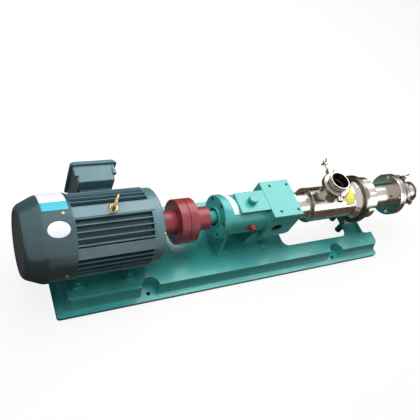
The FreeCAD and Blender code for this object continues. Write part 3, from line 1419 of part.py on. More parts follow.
def clamp_segment(first, last):
    """Part of a clamp ring between two angles, grooved inside over the ferrules; pipe axis is local Z."""
    body = new_body("Segment")
    half = d.clamp_width / 2
    rim = d.ferrule_radius + 0.3
    lip = d.port_radius + 3
    grip = d.ferrule_width + d.gasket_width / 2
    points = [
        (lip, -half), (d.clamp_radius - 3, -half), (d.clamp_radius, -half + 3), (d.clamp_radius, half - 3),
        (d.clamp_radius - 3, half), (lip, half), (lip, grip + 0.3), (rim, grip / 2 + 0.6),
        (rim, -grip / 2 - 0.6), (lip, -grip - 0.3),
    ]
    sketch = outline(body, "XZ_Plane", points)
    feature = body.newObject("PartDesign::Revolution", "Ring")
    feature.Profile = sketch
    feature.ReferenceAxis = (sketch, ["V_Axis"])
    feature.Angle = last - first
    body.Placement = FreeCAD.Placement(V(0, 0, 0), about_z(first))
    return body


def lug(angle, radial_from, radial_to, low_along, high_along, half_height):
    """A lug on a clamp: a block from the ring outwards, set by the tangent distances on its two sides."""
    thing = doc.addObject("Part::Box", "Lug")
    radial_from = as_size(radial_from)
    low_along = as_size(low_along)
    bind(
        thing, Length=as_size(radial_to) - radial_from, Width=as_size(high_along) - low_along,
        Height=half_height * 2,
    )
    cosine = round(math.cos(math.radians(angle)), 9)
    sine = round(math.sin(math.radians(angle)), 9)
    at = (
        radial_from * cosine - low_along * sine, radial_from * sine + low_along * cosine, -half_height,
    )
    return place(thing, at, about_z(angle))


def polar(angle, out, along):
    """The point out from the pipe's axis at an angle, moved along the tangent there."""
    cosine = round(math.cos(math.radians(angle)), 9)
    sine = round(math.sin(math.radians(angle)), 9)
    out = as_size(out)
    along = as_size(along)
    return out * cosine - along * sine, out * sine + along * cosine


def make_clamp(bolt_at, hinges):
    """The grooved segments of a pipe clamp, with lugs for the hinges, the swing bolt and its nut."""
    inner = d.clamp_radius - 6
    tab = as_size(7)
    stops = [bolt_at + 3] + [value for hinge in hinges for value in (hinge - 3, hinge + 3)] + [bolt_at + 357]
    segments = []
    for number in range(0, len(stops), 2):
        first = stops[number]
        last = stops[number + 1]
        parts = [clamp_segment(first, last)]
        if number == 0:
            parts.append(bolt_lug(bolt_at, 1))
        if number == len(stops) - 2:
            parts.append(bolt_lug(bolt_at, -1))
        if number > 0:
            angle = hinges[number // 2 - 1]
            parts.append(lug(angle, inner, d.lug_reach - 4, 1, 9, tab))
        if number < len(stops) - 2:
            angle = hinges[number // 2]
            parts.append(lug(angle, inner, d.lug_reach - 4, -9, -1, tab))
        segments.append(fuse(*parts))
    return segments


def bolt_lug(angle, side):
    """The lug that carries the swing bolt or its nut, with the slot that the bolt lies in."""
    seat = d.nut_seat
    pin = d.swing_pin
    low, high = (pin - 7, pin + 7) if side > 0 else (-seat, -seat + 10)
    near, far = (as_size(4), pin + 6) if side > 0 else (-seat, as_size(-4))
    outer = lug(angle, d.clamp_radius - 6, d.lug_reach - 2, low, high, as_size(9))
    root = lug(angle, d.clamp_radius - 9.5, d.swing_offset - 8, near, far, as_size(9))
    slot = lug(
        angle, d.swing_offset - d.swing_radius - 3.4, d.lug_reach + 10, low - 2, high + 2,
        d.swing_radius + d.running_gap,
    )
    x, y = polar(angle, d.swing_offset, pin)
    if side > 0:
        return cut(fuse(outer, root), slot, cylinder(3, 40, (x, y, -20)))
    return common(cut(fuse(outer, root), slot), cylinder(pin + seat, 40, (x, y, -20)))


def make_clamps():
    """The suction clamp about the nozzle, its bolt swung out, and the closed one about the shaft's axis."""
    suction_turn = FreeCAD.Rotation()
    discharge_turn = about_z(180).multiply(FreeCAD.Rotation(V(1, 1, 1), 120))
    suction_bolt = d.suction_bolt_angle.value
    discharge_bolt = 180 - d.bolt_angle.value
    for prefix, at, turn, bolt_at, hinges, wings_turn in (
        ("suction", (nozzle_x, 0, nozzle_joint), suction_turn, suction_bolt, [suction_bolt + 180], 0),
        ("discharge", (discharge_joint, 0, axis_height), discharge_turn, discharge_bolt,
         [discharge_bolt + 120, discharge_bolt + 240], 45),
    ):
        segments = make_clamp(bolt_at, hinges)
        node(prefix + "_clamp_segments", place(together(*segments), at, turn))
        pins = [swing_pin(bolt_at)] + [hinge_pin(angle) for angle in hinges]
        node(prefix + "_clamp_pins", place(together(*pins), at, turn))
        if prefix == "suction":
            at, turn = swung_out(at, bolt_at)
        node(prefix + "_swing_bolt", place(swing_bolt(bolt_at), at, turn))
        node(prefix + "_wing_nut", place(wing_nut(bolt_at, wings_turn), at, turn))


def swung_out(at, bolt_at):
    """Where the suction clamp's bolt stands when it is swung out about its pin."""
    open_angle = math.radians(d.suction_bolt_open.value)
    cosine = math.cos(open_angle)
    sine = math.sin(open_angle)
    x, y = polar(bolt_at, d.swing_offset, d.swing_pin)
    shifted = (at[0] + x * (1 - cosine) + y * sine, y * (1 - cosine) - x * sine, at[2])
    return shifted, about_z(d.suction_bolt_open.value)


def swing_pin(angle):
    x, y = polar(angle, d.swing_offset, d.swing_pin)
    return cylinder(3, 18, (x, y, -9))


def hinge_pin(angle):
    x, y = polar(angle, d.lug_reach - 9, 0)
    return cylinder(0.9, 16, (x, y, -8))


def swing_bolt(angle):
    """The bolt: an eye round its pin and a shank that lies in the other lug's slot."""
    x, y = polar(angle, d.swing_offset, d.swing_pin)
    eye = cylinder(d.swing_radius + 3, d.swing_radius * 2 - 1, (x, y, -d.swing_radius + 0.5))
    hole = cylinder(3 + d.running_gap, 30, (x, y, -15))
    shank = cylinder(d.swing_radius, d.swing_length, (x, y, 0), "X")
    shank.Placement.Rotation = FreeCAD.Rotation(V(0, 0, 1), angle - 90).multiply(AXES["X"])
    return cut(fuse(eye, shank), hole)


def wing_nut(angle, wings_turn):
    """The nut: a short cone with two wings that lean away from its seat."""
    x, y = polar(angle, d.swing_offset, -d.nut_seat - d.running_gap)
    turn = about_z(angle - 90)
    barrel = cone(10, 8, 14, (x, y, 0), "X")
    barrel.Placement.Rotation = turn.multiply(AXES["X"])
    bore = cylinder(d.swing_radius + d.running_gap, 60, (x, y, 0), "X")
    bore.Placement.Rotation = turn.multiply(AXES["X"])
    wings = []
    for side in (1, -1):
        points = [(2, 4 * side), (13, 4 * side), (22, d.wing_reach * side), (15, d.wing_reach * side)]
        wings.append(padded("XZ_Plane", points, -2, 4, (x, y, 0), turn.multiply(about_x(wings_turn))))
    return cut(fuse(barrel, *wings), bore)


def make_support():
    """Cast support on the cross-member, saddled under the union nut."""
    half = d.support_length / 2
    low = d.base_height
    saddle = axis_height - d.nut_radius - 0.3
    points = [
        (-d.support_width / 2, low), (d.support_width / 2, low), (d.support_width / 2, low + 12),
        (28, low + 20), (28, saddle + 6), (-28, saddle + 6), (-28, low + 20), (-d.support_width / 2, low + 12),
    ]
    blank = padded("YZ_Plane", points, support_middle - half, d.support_length)
    seat = cylinder(d.nut_radius + 0.3, 200, (support_middle - 100, 0, axis_height), "X")
    holes = [cylinder(d.housing_bolt + d.bolt_gap, 60, (x, y, low - 5)) for x, y in support_bolt_places]
    spots = [cylinder(14, 30, (x, y, low + 12)) for x, y in support_bolt_places]
    ring_clear = cylinder(d.ring_radius + 1, 40, (nut_start - 39, 0, axis_height), "X")
    node("pump_support", cut(blank, seat, ring_clear, *holes, *spots))
    node("support_bolts", together(*[
        hex_bolt(d.housing_bolt, 38, (x, y, low + 12)) for x, y in support_bolt_places
    ]))


def check_and_write():
    """Stops on any failed object, then writes each sub-part to its own file."""
    doc.recompute()
    failed = [
        "%s %s" % (thing.Label, thing.State)
        for thing in doc.Objects
        if "Invalid" in thing.State or "Error" in thing.State
    ]
    if failed:
        raise SystemExit("failed objects: " + ", ".join(failed))
    os.makedirs("parts", exist_ok=True)
    for name, thing in NODES.items():
        shape = thing.Shape
        if shape.isNull() or not shape.isValid() or not shape.Solids:
            raise SystemExit("bad shape: " + name)
    for name, thing in NODES.items():
        thing.Shape.exportStep("parts/%s.step" % name)
        print("%-24s %2d solids %12.0f mm3" % (name, len(thing.Shape.Solids), thing.Shape.Volume))
    print(len(NODES), "sub-parts")


make_base()
make_motor_frame()
make_motor_inside()
make_fan_and_cowl()
make_terminal_box()
make_lifting_eye()
make_motor_bolts()
make_coupling()
make_bearing_housing()
make_housing_parts()
make_shaft_seal()
make_suction_casing()
make_stator()
make_rotor_and_rubber()
make_discharge()
make_clamps()
make_support()
check_and_write()
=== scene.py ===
"""Progressive cavity pump: the looks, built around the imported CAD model.

The file is laid out as an add-on and run as a script. Lengths are metres in the CAD model's frame: +X
runs along the shaft from the motor to the discharge and +Z is up.
"""
import json
import math

import bpy
import numpy as np
from bpy.props import FloatProperty, FloatVectorProperty, IntProperty, PointerProperty, StringProperty
from mathutils import Matrix, Vector


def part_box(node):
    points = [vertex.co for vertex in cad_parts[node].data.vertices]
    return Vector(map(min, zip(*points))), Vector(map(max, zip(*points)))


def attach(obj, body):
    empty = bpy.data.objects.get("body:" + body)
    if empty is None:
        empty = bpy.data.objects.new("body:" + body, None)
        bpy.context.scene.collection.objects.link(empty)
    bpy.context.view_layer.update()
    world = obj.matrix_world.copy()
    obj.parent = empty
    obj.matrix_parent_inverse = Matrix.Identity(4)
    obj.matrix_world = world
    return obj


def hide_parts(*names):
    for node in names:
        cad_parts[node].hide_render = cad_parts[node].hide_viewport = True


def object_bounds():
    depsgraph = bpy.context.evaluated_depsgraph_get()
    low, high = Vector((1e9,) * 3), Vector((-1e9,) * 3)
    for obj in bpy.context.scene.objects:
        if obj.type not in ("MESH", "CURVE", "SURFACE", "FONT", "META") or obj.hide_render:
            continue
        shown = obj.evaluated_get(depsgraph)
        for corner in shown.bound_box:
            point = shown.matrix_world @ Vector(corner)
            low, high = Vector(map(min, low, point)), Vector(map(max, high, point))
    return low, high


bl_info = {
    "name": "Progressive Cavity Pump",
    "version": (1, 0, 0),
    "blender": (4, 5, 0),
    "location": "View3D > Sidebar > Pump",
    "description": "Paint, polish, grille, labels and fittings of a progressive cavity pump",
    "category": "Object",
}

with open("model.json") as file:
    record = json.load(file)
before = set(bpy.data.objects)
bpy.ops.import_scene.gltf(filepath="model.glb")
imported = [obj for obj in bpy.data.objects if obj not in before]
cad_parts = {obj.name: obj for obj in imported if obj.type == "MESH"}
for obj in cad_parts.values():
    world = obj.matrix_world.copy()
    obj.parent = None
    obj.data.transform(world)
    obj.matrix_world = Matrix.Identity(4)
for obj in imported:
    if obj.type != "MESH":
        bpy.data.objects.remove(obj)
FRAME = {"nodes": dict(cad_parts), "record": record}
CAD_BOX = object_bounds()
SLOTS = {row["node"]: row["material_slot"] for row in FRAME["record"]["subparts"]}
MM = 0.001
WHITE = (1.0, 1.0, 1.0, 1.0)


def corner(node_name, axis, high=False):
    """One coordinate of a CAD node's box: its low side, or its high side."""
    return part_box(node_name)[1 if high else 0][axis]


def middle(node_name, axis):
    """The middle of a CAD node's box along one axis."""
    return (corner(node_name, axis) + corner(node_name, axis, True)) / 2


SHAFT_Z = middle("union_nut", 2)


def hex_colour(name, about, value):
    """A colour setting, as an sRGB hex value."""
    return StringProperty(name=name, description=about, default=value)


def length(name, about, millimetres):
    """A length setting, given in millimetres and kept in metres."""
    return FloatProperty(name=name, description=about, default=millimetres * MM, unit="LENGTH")


def direction(name, about, value):
    """A unit vector as a setting."""
    return FloatVectorProperty(name=name, description=about, default=value, subtype="DIRECTION")


class PumpColours(bpy.types.PropertyGroup):
    """Colours of the finishes, the labels and the stage."""

    teal: hex_colour("Teal enamel", "Base, housing and support", "#389E9A")
    teal_light: hex_colour("Light teal", "Enamel where it lies thick", "#41A8A3")
    slate: hex_colour("Slate enamel", "Motor", "#5A7A84")
    slate_dark: hex_colour("Dark slate", "Motor paint in its hollows", "#506E77")
    cowl: hex_colour("Cowl", "Paint of the fan cowl", "#2C4C52")
    cowl_dark: hex_colour("Cowl, thick", "The same paint where it is thick", "#27444A")
    maroon: hex_colour("Coupling enamel", "Both coupling halves", "#8F2C33")
    maroon_dark: hex_colour("Dark maroon", "Coupling enamel where it lies thick", "#7A2A32")
    steel: hex_colour("Stainless steel", "Polished wetted parts", "#C9C4BC")
    dark_steel: hex_colour("Dark steel", "Clamping ring", "#8E8881")
    cast_steel: hex_colour("Cast stainless", "Clamps, discharge body", "#A39D95")
    black_oxide: hex_colour("Black oxide", "Socket screws", "#3A3B3C")
    zinc: hex_colour("Yellow zinc", "Bolts and lifting eye", "#C9B584")
    bare: hex_colour("Turned steel", "Shafts and keys", "#B4B2AE")
    rubber: hex_colour("Rubber", "Seals and stator", "#1B1B1C")
    plastic: hex_colour("Black plastic", "Fan and gland", "#191A1B")
    plug: hex_colour("Oil plug", "Plug in the barrel", "#8A1826")
    paper: hex_colour("Label white", "Blank labels", "#DCE2E7")
    cyan: hex_colour("Label cyan", "Band on the cowl's label", "#45B0C2")
    yellow: hex_colour("Label yellow", "Label on the casing", "#E8DE5A")
    floor: hex_colour("Floor", "Pale studio floor", "#F4F4F2")
    ground: hex_colour("Ground card", "Brown card that the metal reflects", "#5E5045")
    dark_card: hex_colour("Dark card", "Cards that draw dark lines in metal", "#1E1B1A")


class PumpSizes(bpy.types.PropertyGroup):
    """Sizes of what is added to the CAD model, and those of its radii that no box gives."""

    soft_edge: length("Cast edge", "Rounding of cast edges", 1.6)
    crisp_edge: length("Turned edge", "Rounding of machined edges", 0.5)
    grain: length("Casting grain", "Size of the sand's grain under the paint", 2.4)
    hole_pitch: length("Grille pitch", "Between holes of the fan cowl's grille", 9)
    hole_radius: length("Grille hole", "Radius of the grille's holes", 3.3)
    label_lift: length("Label lift", "Labels above what they stick to", 0.35)
    label_sheet: length("Label sheet", "Thickness of the labels", 0.2)
    # fin_root and fin_tip bound the painted shade in the motor's fin channels: it is full at the root and
    # gone at the tip.
    fin_root: length("Fin root", "Where the dust in the motor's channels is full", 112)
    fin_tip: length("Fin tip", "Where the motor's paint is clean", 132)
    barrel: length("Barrel", "Radius of the bearing housing's barrel", 72)
    casing: length("Casing", "Radius of the suction casing", 68)
    pipe: length("Pipe", "Outer radius of the three-inch pipe", 38.1)
    sides: IntProperty(name="Round sides", description="Steps round a turned piece", default=128, min=24)


class PumpCamera(bpy.types.PropertyGroup):
    """The photograph's camera, solved from the motor's size."""

    place: FloatVectorProperty(
        name="Place", description="Camera position", default=(-1.066, -0.808, 1.649), subtype="XYZ",
        unit="LENGTH",
    )
    right: direction("Right", "To the right in the picture", (0.8755, -0.3417, 0.3417))
    up: direction("Up", "Upwards in the picture", (0.1079, 0.8275, 0.5512))
    lens: FloatProperty(name="Lens", description="Focal length in millimetres", default=44.14)


def settings():
    """The three property groups of this scene."""
    scene = bpy.context.scene
    return scene.pump_colours, scene.pump_sizes, scene.pump_camera


def linear(value):
    """An sRGB hex value as linear red, green, blue and alpha: each channel is raised from its gamma curve."""
    channels = np.array([int(value[i:i + 2], 16) for i in (1, 3, 5)]) / 255
    low = channels / 12.92
    high = ((channels + 0.055) / 1.055) ** 2.4
    return (*np.where(channels <= 0.04045, low, high), 1.0)


def add(tree, kind, inputs=None, **values):
    """Adds a node with its settings, and gives each named input a value or a link from a socket."""
    made = tree.nodes.new(kind)
    for key, value in values.items():
        setattr(made, key, value)
    for key, value in (inputs or {}).items():
        if isinstance(value, bpy.types.NodeSocket):
            tree.links.new(value, made.inputs[key])
        else:
            made.inputs[key].default_value = value
    return made


def blank_material(name):
    """A material with only its output, the object coordinates and the node tree to fill."""
    material = bpy.data.materials.new(name)
    material.use_nodes = True
    tree = material.node_tree
    tree.nodes.clear()
    output = tree.nodes.new("ShaderNodeOutputMaterial")
    place = tree.nodes.new("ShaderNodeTexCoord").outputs["Object"]
    return material, tree, output, place


def fin_channel_shade(tree, place, root, tip):
    """Painted shade darkens and dulls the channels between cooling fins: the paint keeps its full colour at
    the fins' tips, and a fifth of it is left at their root, by the distance from the shaft's axis."""
    from_axis = add(
        tree, "ShaderNodeVectorMath", {0: place, 1: (0.0, 0.0, SHAFT_Z)}, operation="SUBTRACT"
    )
    across = add(
        tree, "ShaderNodeVectorMath", {0: from_axis.outputs["Vector"], 1: (0.0, 1.0, 1.0)},
        operation="MULTIPLY",
    )
    radius = add(tree, "ShaderNodeVectorMath", {0: across.outputs["Vector"]}, operation="LENGTH")
    unshaded = add(
        tree, "ShaderNodeMapRange",
        {"Value": radius.outputs["Value"], "From Min": root, "From Max": tip, "To Min": 0.22, "To Max": 1.0},
    )
    return unshaded.outputs["Result"]


def enamel(name, thin, thick, gloss, bump, grain, fins=None):
    """Brushed-on enamel over metal: it lies thicker in patches, which shows as slow changes of colour
    and gloss, and follows the grain of the casting below. Fins are the radii of their root and tip.
    In a colour mix, inputs 6 and 7 are the two colours and output 2 is the mixed one."""
    material, tree, output, place = blank_material(name)
    patches = add(
        tree, "ShaderNodeTexNoise", {"Vector": place, "Scale": 14.0, "Detail": 4.0, "Roughness": 0.6}
    )
    spread = add(
        tree, "ShaderNodeMapRange",
        {"Value": patches.outputs["Fac"], "From Min": 0.35, "From Max": 0.65, "To Min": 0.0, "To Max": 1.0},
    )
    colour = add(
        tree, "ShaderNodeMix", {0: spread.outputs["Result"], 6: linear(thin), 7: linear(thick)},
        data_type="RGBA",
    ).outputs[2]
    coat = {"Base Color": colour, "Coat Weight": 0.5}
    # Painted shade between the fins: the colour darkens, and the coat and specular fade, towards the fins'
    # root.
    if fins:
        unshaded = fin_channel_shade(tree, place, *fins)
        fin_shaded = add(tree, "ShaderNodeVectorMath", {0: colour, "Scale": unshaded}, operation="SCALE")
        shine = add(tree, "ShaderNodeMath", {0: unshaded, 1: 0.5}, operation="MULTIPLY").outputs["Value"]
        coat = {"Base Color": fin_shaded.outputs["Vector"], "Coat Weight": shine, "Specular IOR Level": shine}
    rough = add(
        tree, "ShaderNodeMapRange",
        {"Value": patches.outputs["Fac"], "To Min": gloss - 0.07, "To Max": gloss + 0.09},
    )
    sand = add(
        tree, "ShaderNodeTexNoise",
        {"Vector": place, "Scale": 1 / (grain * 3), "Detail": 5.0, "Roughness": 0.65},
    )
    waves = add(tree, "ShaderNodeTexNoise", {"Vector": place, "Scale": 60.0, "Detail": 2.0})
    low = add(
        tree, "ShaderNodeBump", {"Height": waves.outputs["Fac"], "Strength": bump, "Distance": 1.2 * MM}
    )
    relief = add(
        tree, "ShaderNodeBump",
        {
            "Height": sand.outputs["Fac"], "Strength": bump, "Distance": 0.5 * MM,
            "Normal": low.outputs["Normal"],
        },
    )
    shader = add(
        tree, "ShaderNodeBsdfPrincipled",
        {
            **coat, "Roughness": rough.outputs["Result"], "Normal": relief.outputs["Normal"],
            "Coat Roughness": 0.14, "IOR": 1.5,
        },
    )
    tree.links.new(shader.outputs["BSDF"], output.inputs["Surface"])
    return material


def metal(name, colour, rough, scratch, stretch, strength):
    """Bare metal: fine tool or polishing marks run one way, and the finish is a little uneven."""
    material, tree, output, place = blank_material(name)
    lines = add(tree, "ShaderNodeMapping", {"Vector": place, "Scale": stretch})
    marks = add(
        tree, "ShaderNodeTexNoise",
        {"Vector": lines.outputs["Vector"], "Scale": 1 / (scratch * 3), "Detail": 3.0},
    )
    clouds = add(tree, "ShaderNodeTexNoise", {"Vector": place, "Scale": 22.0, "Detail": 3.0})
    finish = add(
        tree, "ShaderNodeMapRange",
        {"Value": clouds.outputs["Fac"], "To Min": rough * 0.6, "To Max": rough * 1.5},
    )
    relief = add(
        tree, "ShaderNodeBump", {"Height": marks.outputs["Fac"], "Strength": strength, "Distance": 0.1 * MM}
    )
    shader = add(
        tree, "ShaderNodeBsdfPrincipled",
        {
            "Base Color": linear(colour), "Metallic": 1.0, "Roughness": finish.outputs["Result"],
            "Normal": relief.outputs["Normal"],
        },
    )
    tree.links.new(shader.outputs["BSDF"], output.inputs["Surface"])
    return material


def moulded(name, colour, rough, grain):
    """Moulded rubber, plastic or label stock: one colour, with a fine dull grain that breaks up its shine."""
    material, tree, output, place = blank_material(name)
    texture = add(tree, "ShaderNodeTexNoise", {"Vector": place, "Scale": 1 / (grain * 3), "Detail": 2.0})
    finish = add(
        tree, "ShaderNodeMapRange",
        {"Value": texture.outputs["Fac"], "To Min": rough - 0.08, "To Max": rough + 0.08},
    )
    relief = add(
        tree, "ShaderNodeBump", {"Height": texture.outputs["Fac"], "Strength": 0.25, "Distance": 0.15 * MM}
    )
    shader = add(
        tree, "ShaderNodeBsdfPrincipled",
        {
            "Base Color": linear(colour), "Roughness": finish.outputs["Result"],
            "Normal": relief.outputs["Normal"],
        },
    )
    tree.links.new(shader.outputs["BSDF"], output.inputs["Surface"])
    return material


# Slot: material, colour where it is thin and where it is thick, roughness, depth of the relief.
ENAMELS = {
    # Alkyd enamel brushed over sand-cast iron: glossy, with the casting's grain below.
    "base_paint": ("teal_enamel_on_cast_iron", "teal", "teal_light", 0.3, 0.9),
    # The housing is filled and sprayed, so it is smoother than the base.
    "housing_paint": ("sprayed_teal_enamel", "teal", "teal_light", 0.3, 0.22),
    # Machine enamel on the motor: satin, greyer where it is thin.
    "motor_paint": ("slate_enamel", "slate_dark", "slate", 0.34, 0.2),
    # The same enamel on the motor frame, with painted shade in the channels between its fins.
    "paint_with_fin_shade": ("slate_enamel_with_painted_fin_shade", "slate_dark", "slate", 0.34, 0.2),
    # The cowl is deep-drawn sheet, so its paint is smooth; its colour is set darker than the motor frame's.
    "cowl_paint": ("slate_enamel_on_sheet", "cowl_dark", "cowl", 0.32, 0.06),
    "coupling_paint": ("maroon_enamel", "maroon", "maroon_dark", 0.48, 0.3),
}
# Slot: material, colour, roughness, size of the marks, their scale along x, y and z, depth of the relief.
METALS = {
    # Mechanically polished 304 stainless: bright, with faint marks round the pipe.
    "stainless": ("polished_stainless", "steel", 0.2, 0.5 * MM, (1.0, 0.06, 0.06), 0.14),
    "dark_steel": ("blackened_steel", "dark_steel", 0.2, 0.5 * MM, (1.0, 0.06, 0.06), 0.15),
    # Investment-cast stainless, tumbled and not polished, on clamps and the discharge body.
    "cast_stainless": ("tumbled_cast_stainless", "cast_steel", 0.27, 0.6 * MM, (1.0, 0.3, 0.3), 0.2),
    # Socket screws with a black oxide finish.
    "black_screw": ("black_oxide_steel", "black_oxide", 0.35, 0.4 * MM, (1.0, 1.0, 1.0), 0.1),
    # Yellow passivated zinc: a thin gold film over plated steel.
    "zinc": ("yellow_zinc_plate", "zinc", 0.3, 0.4 * MM, (1.0, 1.0, 1.0), 0.1),
    # Lathe marks run round the shafts.
    "machined_steel": ("turned_steel", "bare", 0.26, 0.4 * MM, (1.0, 0.05, 0.05), 0.2),
}
# Slot: material, colour, roughness, size of the grain.
MOULDINGS = {
    "black_plastic": ("moulded_black_plastic", "plastic", 0.5, 0.6 * MM),
    "red_plug": ("moulded_red_plug", "plug", 0.35, 0.6 * MM),
    "rubber": ("nitrile_rubber", "rubber", 0.65, 0.5 * MM),
    "paper": ("white_vinyl_label", "paper", 0.4, 0.8 * MM),
    "cyan": ("cyan_vinyl_label", "cyan", 0.4, 0.8 * MM),
    "yellow": ("yellow_vinyl_label", "yellow", 0.4, 0.8 * MM),
}
MATERIALS = {}


def make_materials():
    """Every finish by the record's slot, and the finishes and label colours that only the scene has."""
    colours, sizes, _ = settings()
    made = {}
    for slot, (name, thin, thick, rough, relief) in ENAMELS.items():
        fins = (sizes.fin_root, sizes.fin_tip) if slot == "paint_with_fin_shade" else None
        shades = getattr(colours, thin), getattr(colours, thick)
        made[slot] = enamel(name, *shades, rough, relief, sizes.grain, fins)
    for slot, (name, shade, *finish) in METALS.items():
        made[slot] = metal(name, getattr(colours, shade), *finish)
    for slot, (name, shade, *finish) in MOULDINGS.items():
        made[slot] = moulded(name, getattr(colours, shade), *finish)
    return made


def put_mesh(name, surfaces, slot, body):
    """One piece from several grids of quads. Each surface is (points, faces): points is an n by 3 array and
    faces an m by 4 array of indices."""
    starts = np.cumsum([0] + [len(points) for points, faces in surfaces])
    points = np.concatenate([points for points, faces in surfaces])
    faces = np.concatenate([faces + start for (_, faces), start in zip(surfaces, starts)])
    mesh = bpy.data.meshes.new(name)
    mesh.vertices.add(len(points))
    mesh.vertices.foreach_set("co", points.astype(np.float32).ravel())
    mesh.loops.add(faces.size)
    mesh.loops.foreach_set("vertex_index", faces.astype(np.int32).ravel())
    mesh.polygons.add(len(faces))
    mesh.polygons.foreach_set("loop_start", np.arange(0, faces.size, 4, dtype=np.int32))
    mesh.update(calc_edges=True)
    mesh.validate()
    mesh.polygons.foreach_set("use_smooth", np.full(len(mesh.polygons), True))
    mesh.materials.append(MATERIALS[slot])
    piece = bpy.data.objects.new(name, mesh)
    bpy.context.scene.collection.objects.link(piece)
    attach(piece, body)
    return piece


def grid(points, wrap_u=False, wrap_v=False, flip=False):
    """Quads over a grid of points, u by v by 3, joined up at the ends where it wraps."""
    rows, columns = points.shape[:2]
    index = np.arange(rows * columns).reshape(rows, columns)
    if wrap_u:
        index = np.vstack([index, index[:1]])
    if wrap_v:
        index = np.hstack([index, index[:, :1]])
    corners = (index[:-1, :-1], index[1:, :-1], index[1:, 1:], index[:-1, 1:])
    if flip:
        corners = corners[::-1]
    return points.reshape(-1, 3), np.stack([c.ravel() for c in corners], axis=1)


def rounded(profile, radius, steps):
    """Rounds each corner of a closed profile: the corner becomes a quadratic curve between the two points
    that lie the radius away from it along its sides, or a third of the side where that is shorter."""
    profile = np.asarray(profile, float)
    before = np.roll(profile, 1, axis=0) - profile
    after = np.roll(profile, -1, axis=0) - profile
    reach_before = np.linalg.norm(before, axis=1, keepdims=True)
    reach_after = np.linalg.norm(after, axis=1, keepdims=True)
    first = profile + before / reach_before * np.minimum(radius, reach_before / 3)
    last = profile + after / reach_after * np.minimum(radius, reach_after / 3)
    t = np.linspace(0, 1, steps + 1)[None, :, None]
    curve = (1 - t) ** 2 * first[:, None] + 2 * t * (1 - t) * profile[:, None] + t ** 2 * last[:, None]
    return curve.reshape(-1, 2)


def turned(profile):
    """A closed profile of (x, radius) carried round the shaft's axis: each point keeps its x, and its y and z
    are the radius times the cosine and the sine of the angle. The profile runs anticlockwise, seen with x to
    the right and the radius upwards."""
    angle = np.linspace(0, 2 * math.pi, settings()[1].sides, endpoint=False)
    x, radius = profile[:, :1], profile[:, 1:]
    points = np.stack([x + 0 * angle, radius * np.cos(angle), SHAFT_Z + radius * np.sin(angle)], axis=-1)
    return grid(points, wrap_u=True, wrap_v=True, flip=True)


def bead_along(path, radius, sides=12):
    """A round bead along a closed path: at each point a circle stands square to the path, on the direction
    away from the path's middle and on the one square to both."""
    ahead = np.roll(path, -1, axis=0) - np.roll(path, 1, axis=0)
    ahead /= np.linalg.norm(ahead, axis=1, keepdims=True)
    outward = path - path.mean(axis=0)
    first = outward - np.sum(outward * ahead, axis=1, keepdims=True) * ahead
    first /= np.linalg.norm(first, axis=1, keepdims=True)
    second = np.cross(ahead, first)
    angle = np.linspace(0, 2 * math.pi, sides, endpoint=False)[:, None]
    ring = np.cos(angle)[None] * first[:, None] + np.sin(angle)[None] * second[:, None]
    return grid(path[:, None] + radius[:, None, None] * ring, wrap_u=True, wrap_v=True, flip=True)


SOFT_NODES = (
    "base_plate", "pump_support", "bearing_housing", "motor_frame", "drive_end_shield", "terminal_box",
    "terminal_box_lid", "top_cover_plate",
)
# Flat faces with many cut-outs: merged into one face they would not bevel cleanly.
TRIANGLE_NODES = ("base_plate", "motor_frame")
OTHER_FINISHES = {
    "drive_shaft": "housing_paint",
    "motor_frame": "paint_with_fin_shade",
    "discharge_body": "cast_stainless",
    "suction_clamp_segments": "cast_stainless",
    "discharge_clamp_segments": "cast_stainless",
    "cover_screws": "black_screw",
}
WELD_REACH = 0.01 * MM
FLAT_ANGLE = math.radians(1)
EDGE_ANGLE = math.radians(32)


def finish_node(name, slot, edge):
    """Dresses a CAD node where it is: its triangles are joined, flat facets merged and edges softened."""
    piece = FRAME["nodes"][name]
    weld = piece.modifiers.new("Weld", "WELD")
    weld.merge_threshold = WELD_REACH
    if name not in TRIANGLE_NODES:
        flat = piece.modifiers.new("Flatten", "DECIMATE")
        flat.decimate_type = "DISSOLVE"
        flat.angle_limit = FLAT_ANGLE
    bevel = piece.modifiers.new("Edges", "BEVEL")
    bevel.width = edge
    bevel.segments = 2
    bevel.limit_method = "ANGLE"
    bevel.angle_limit = EDGE_ANGLE
    bevel.use_clamp_overlap = name in TRIANGLE_NODES
    bevel.miter_outer = "MITER_ARC"
    normals = piece.modifiers.new("Normals", "WEIGHTED_NORMAL")
    normals.keep_sharp = True
    normals.weight = 100
    piece.data.polygons.foreach_set("use_smooth", np.full(len(piece.data.polygons), True))
    piece.data.materials.clear()
    piece.data.materials.append(MATERIALS[slot])


def paint_feet(top):
    """The motor's feet were painted over together with the base."""
    frame = FRAME["nodes"]["motor_frame"].data
    frame.materials.append(MATERIALS["base_paint"])
    for face in frame.polygons:
        if face.center.z < top:
            face.material_index = 1


def plate(name, centre, across, up, material):
    """A flat rectangle on the stage: its centre and the two half sides."""
    centre, across, up = (np.array(value, float) for value in (centre, across, up))
    corners = [tuple(centre + a * across + b * up) for a, b in ((-1, -1), (1, -1), (1, 1), (-1, 1))]
    mesh = bpy.data.meshes.new(name)
    mesh.from_pydata(corners, [], [(0, 1, 2, 3)])
    mesh.materials.append(material)
    thing = bpy.data.objects.new(name, mesh)
    bpy.context.scene.collection.objects.link(thing)
    return thing


def background_rays(tree):
    """1 for the rays that see the white background: the camera's, and those that metal and glass send on."""
    path = add(tree, "ShaderNodeLightPath")
    sent_on = add(
        tree, "ShaderNodeMath",
        {0: path.outputs["Is Glossy Ray"], 1: path.outputs["Is Transmission Ray"]}, operation="MAXIMUM",
    )
    return add(
        tree, "ShaderNodeMath", {0: path.outputs["Is Camera Ray"], 1: sent_on.outputs[0]}, operation="MAXIMUM"
    ).outputs[0]


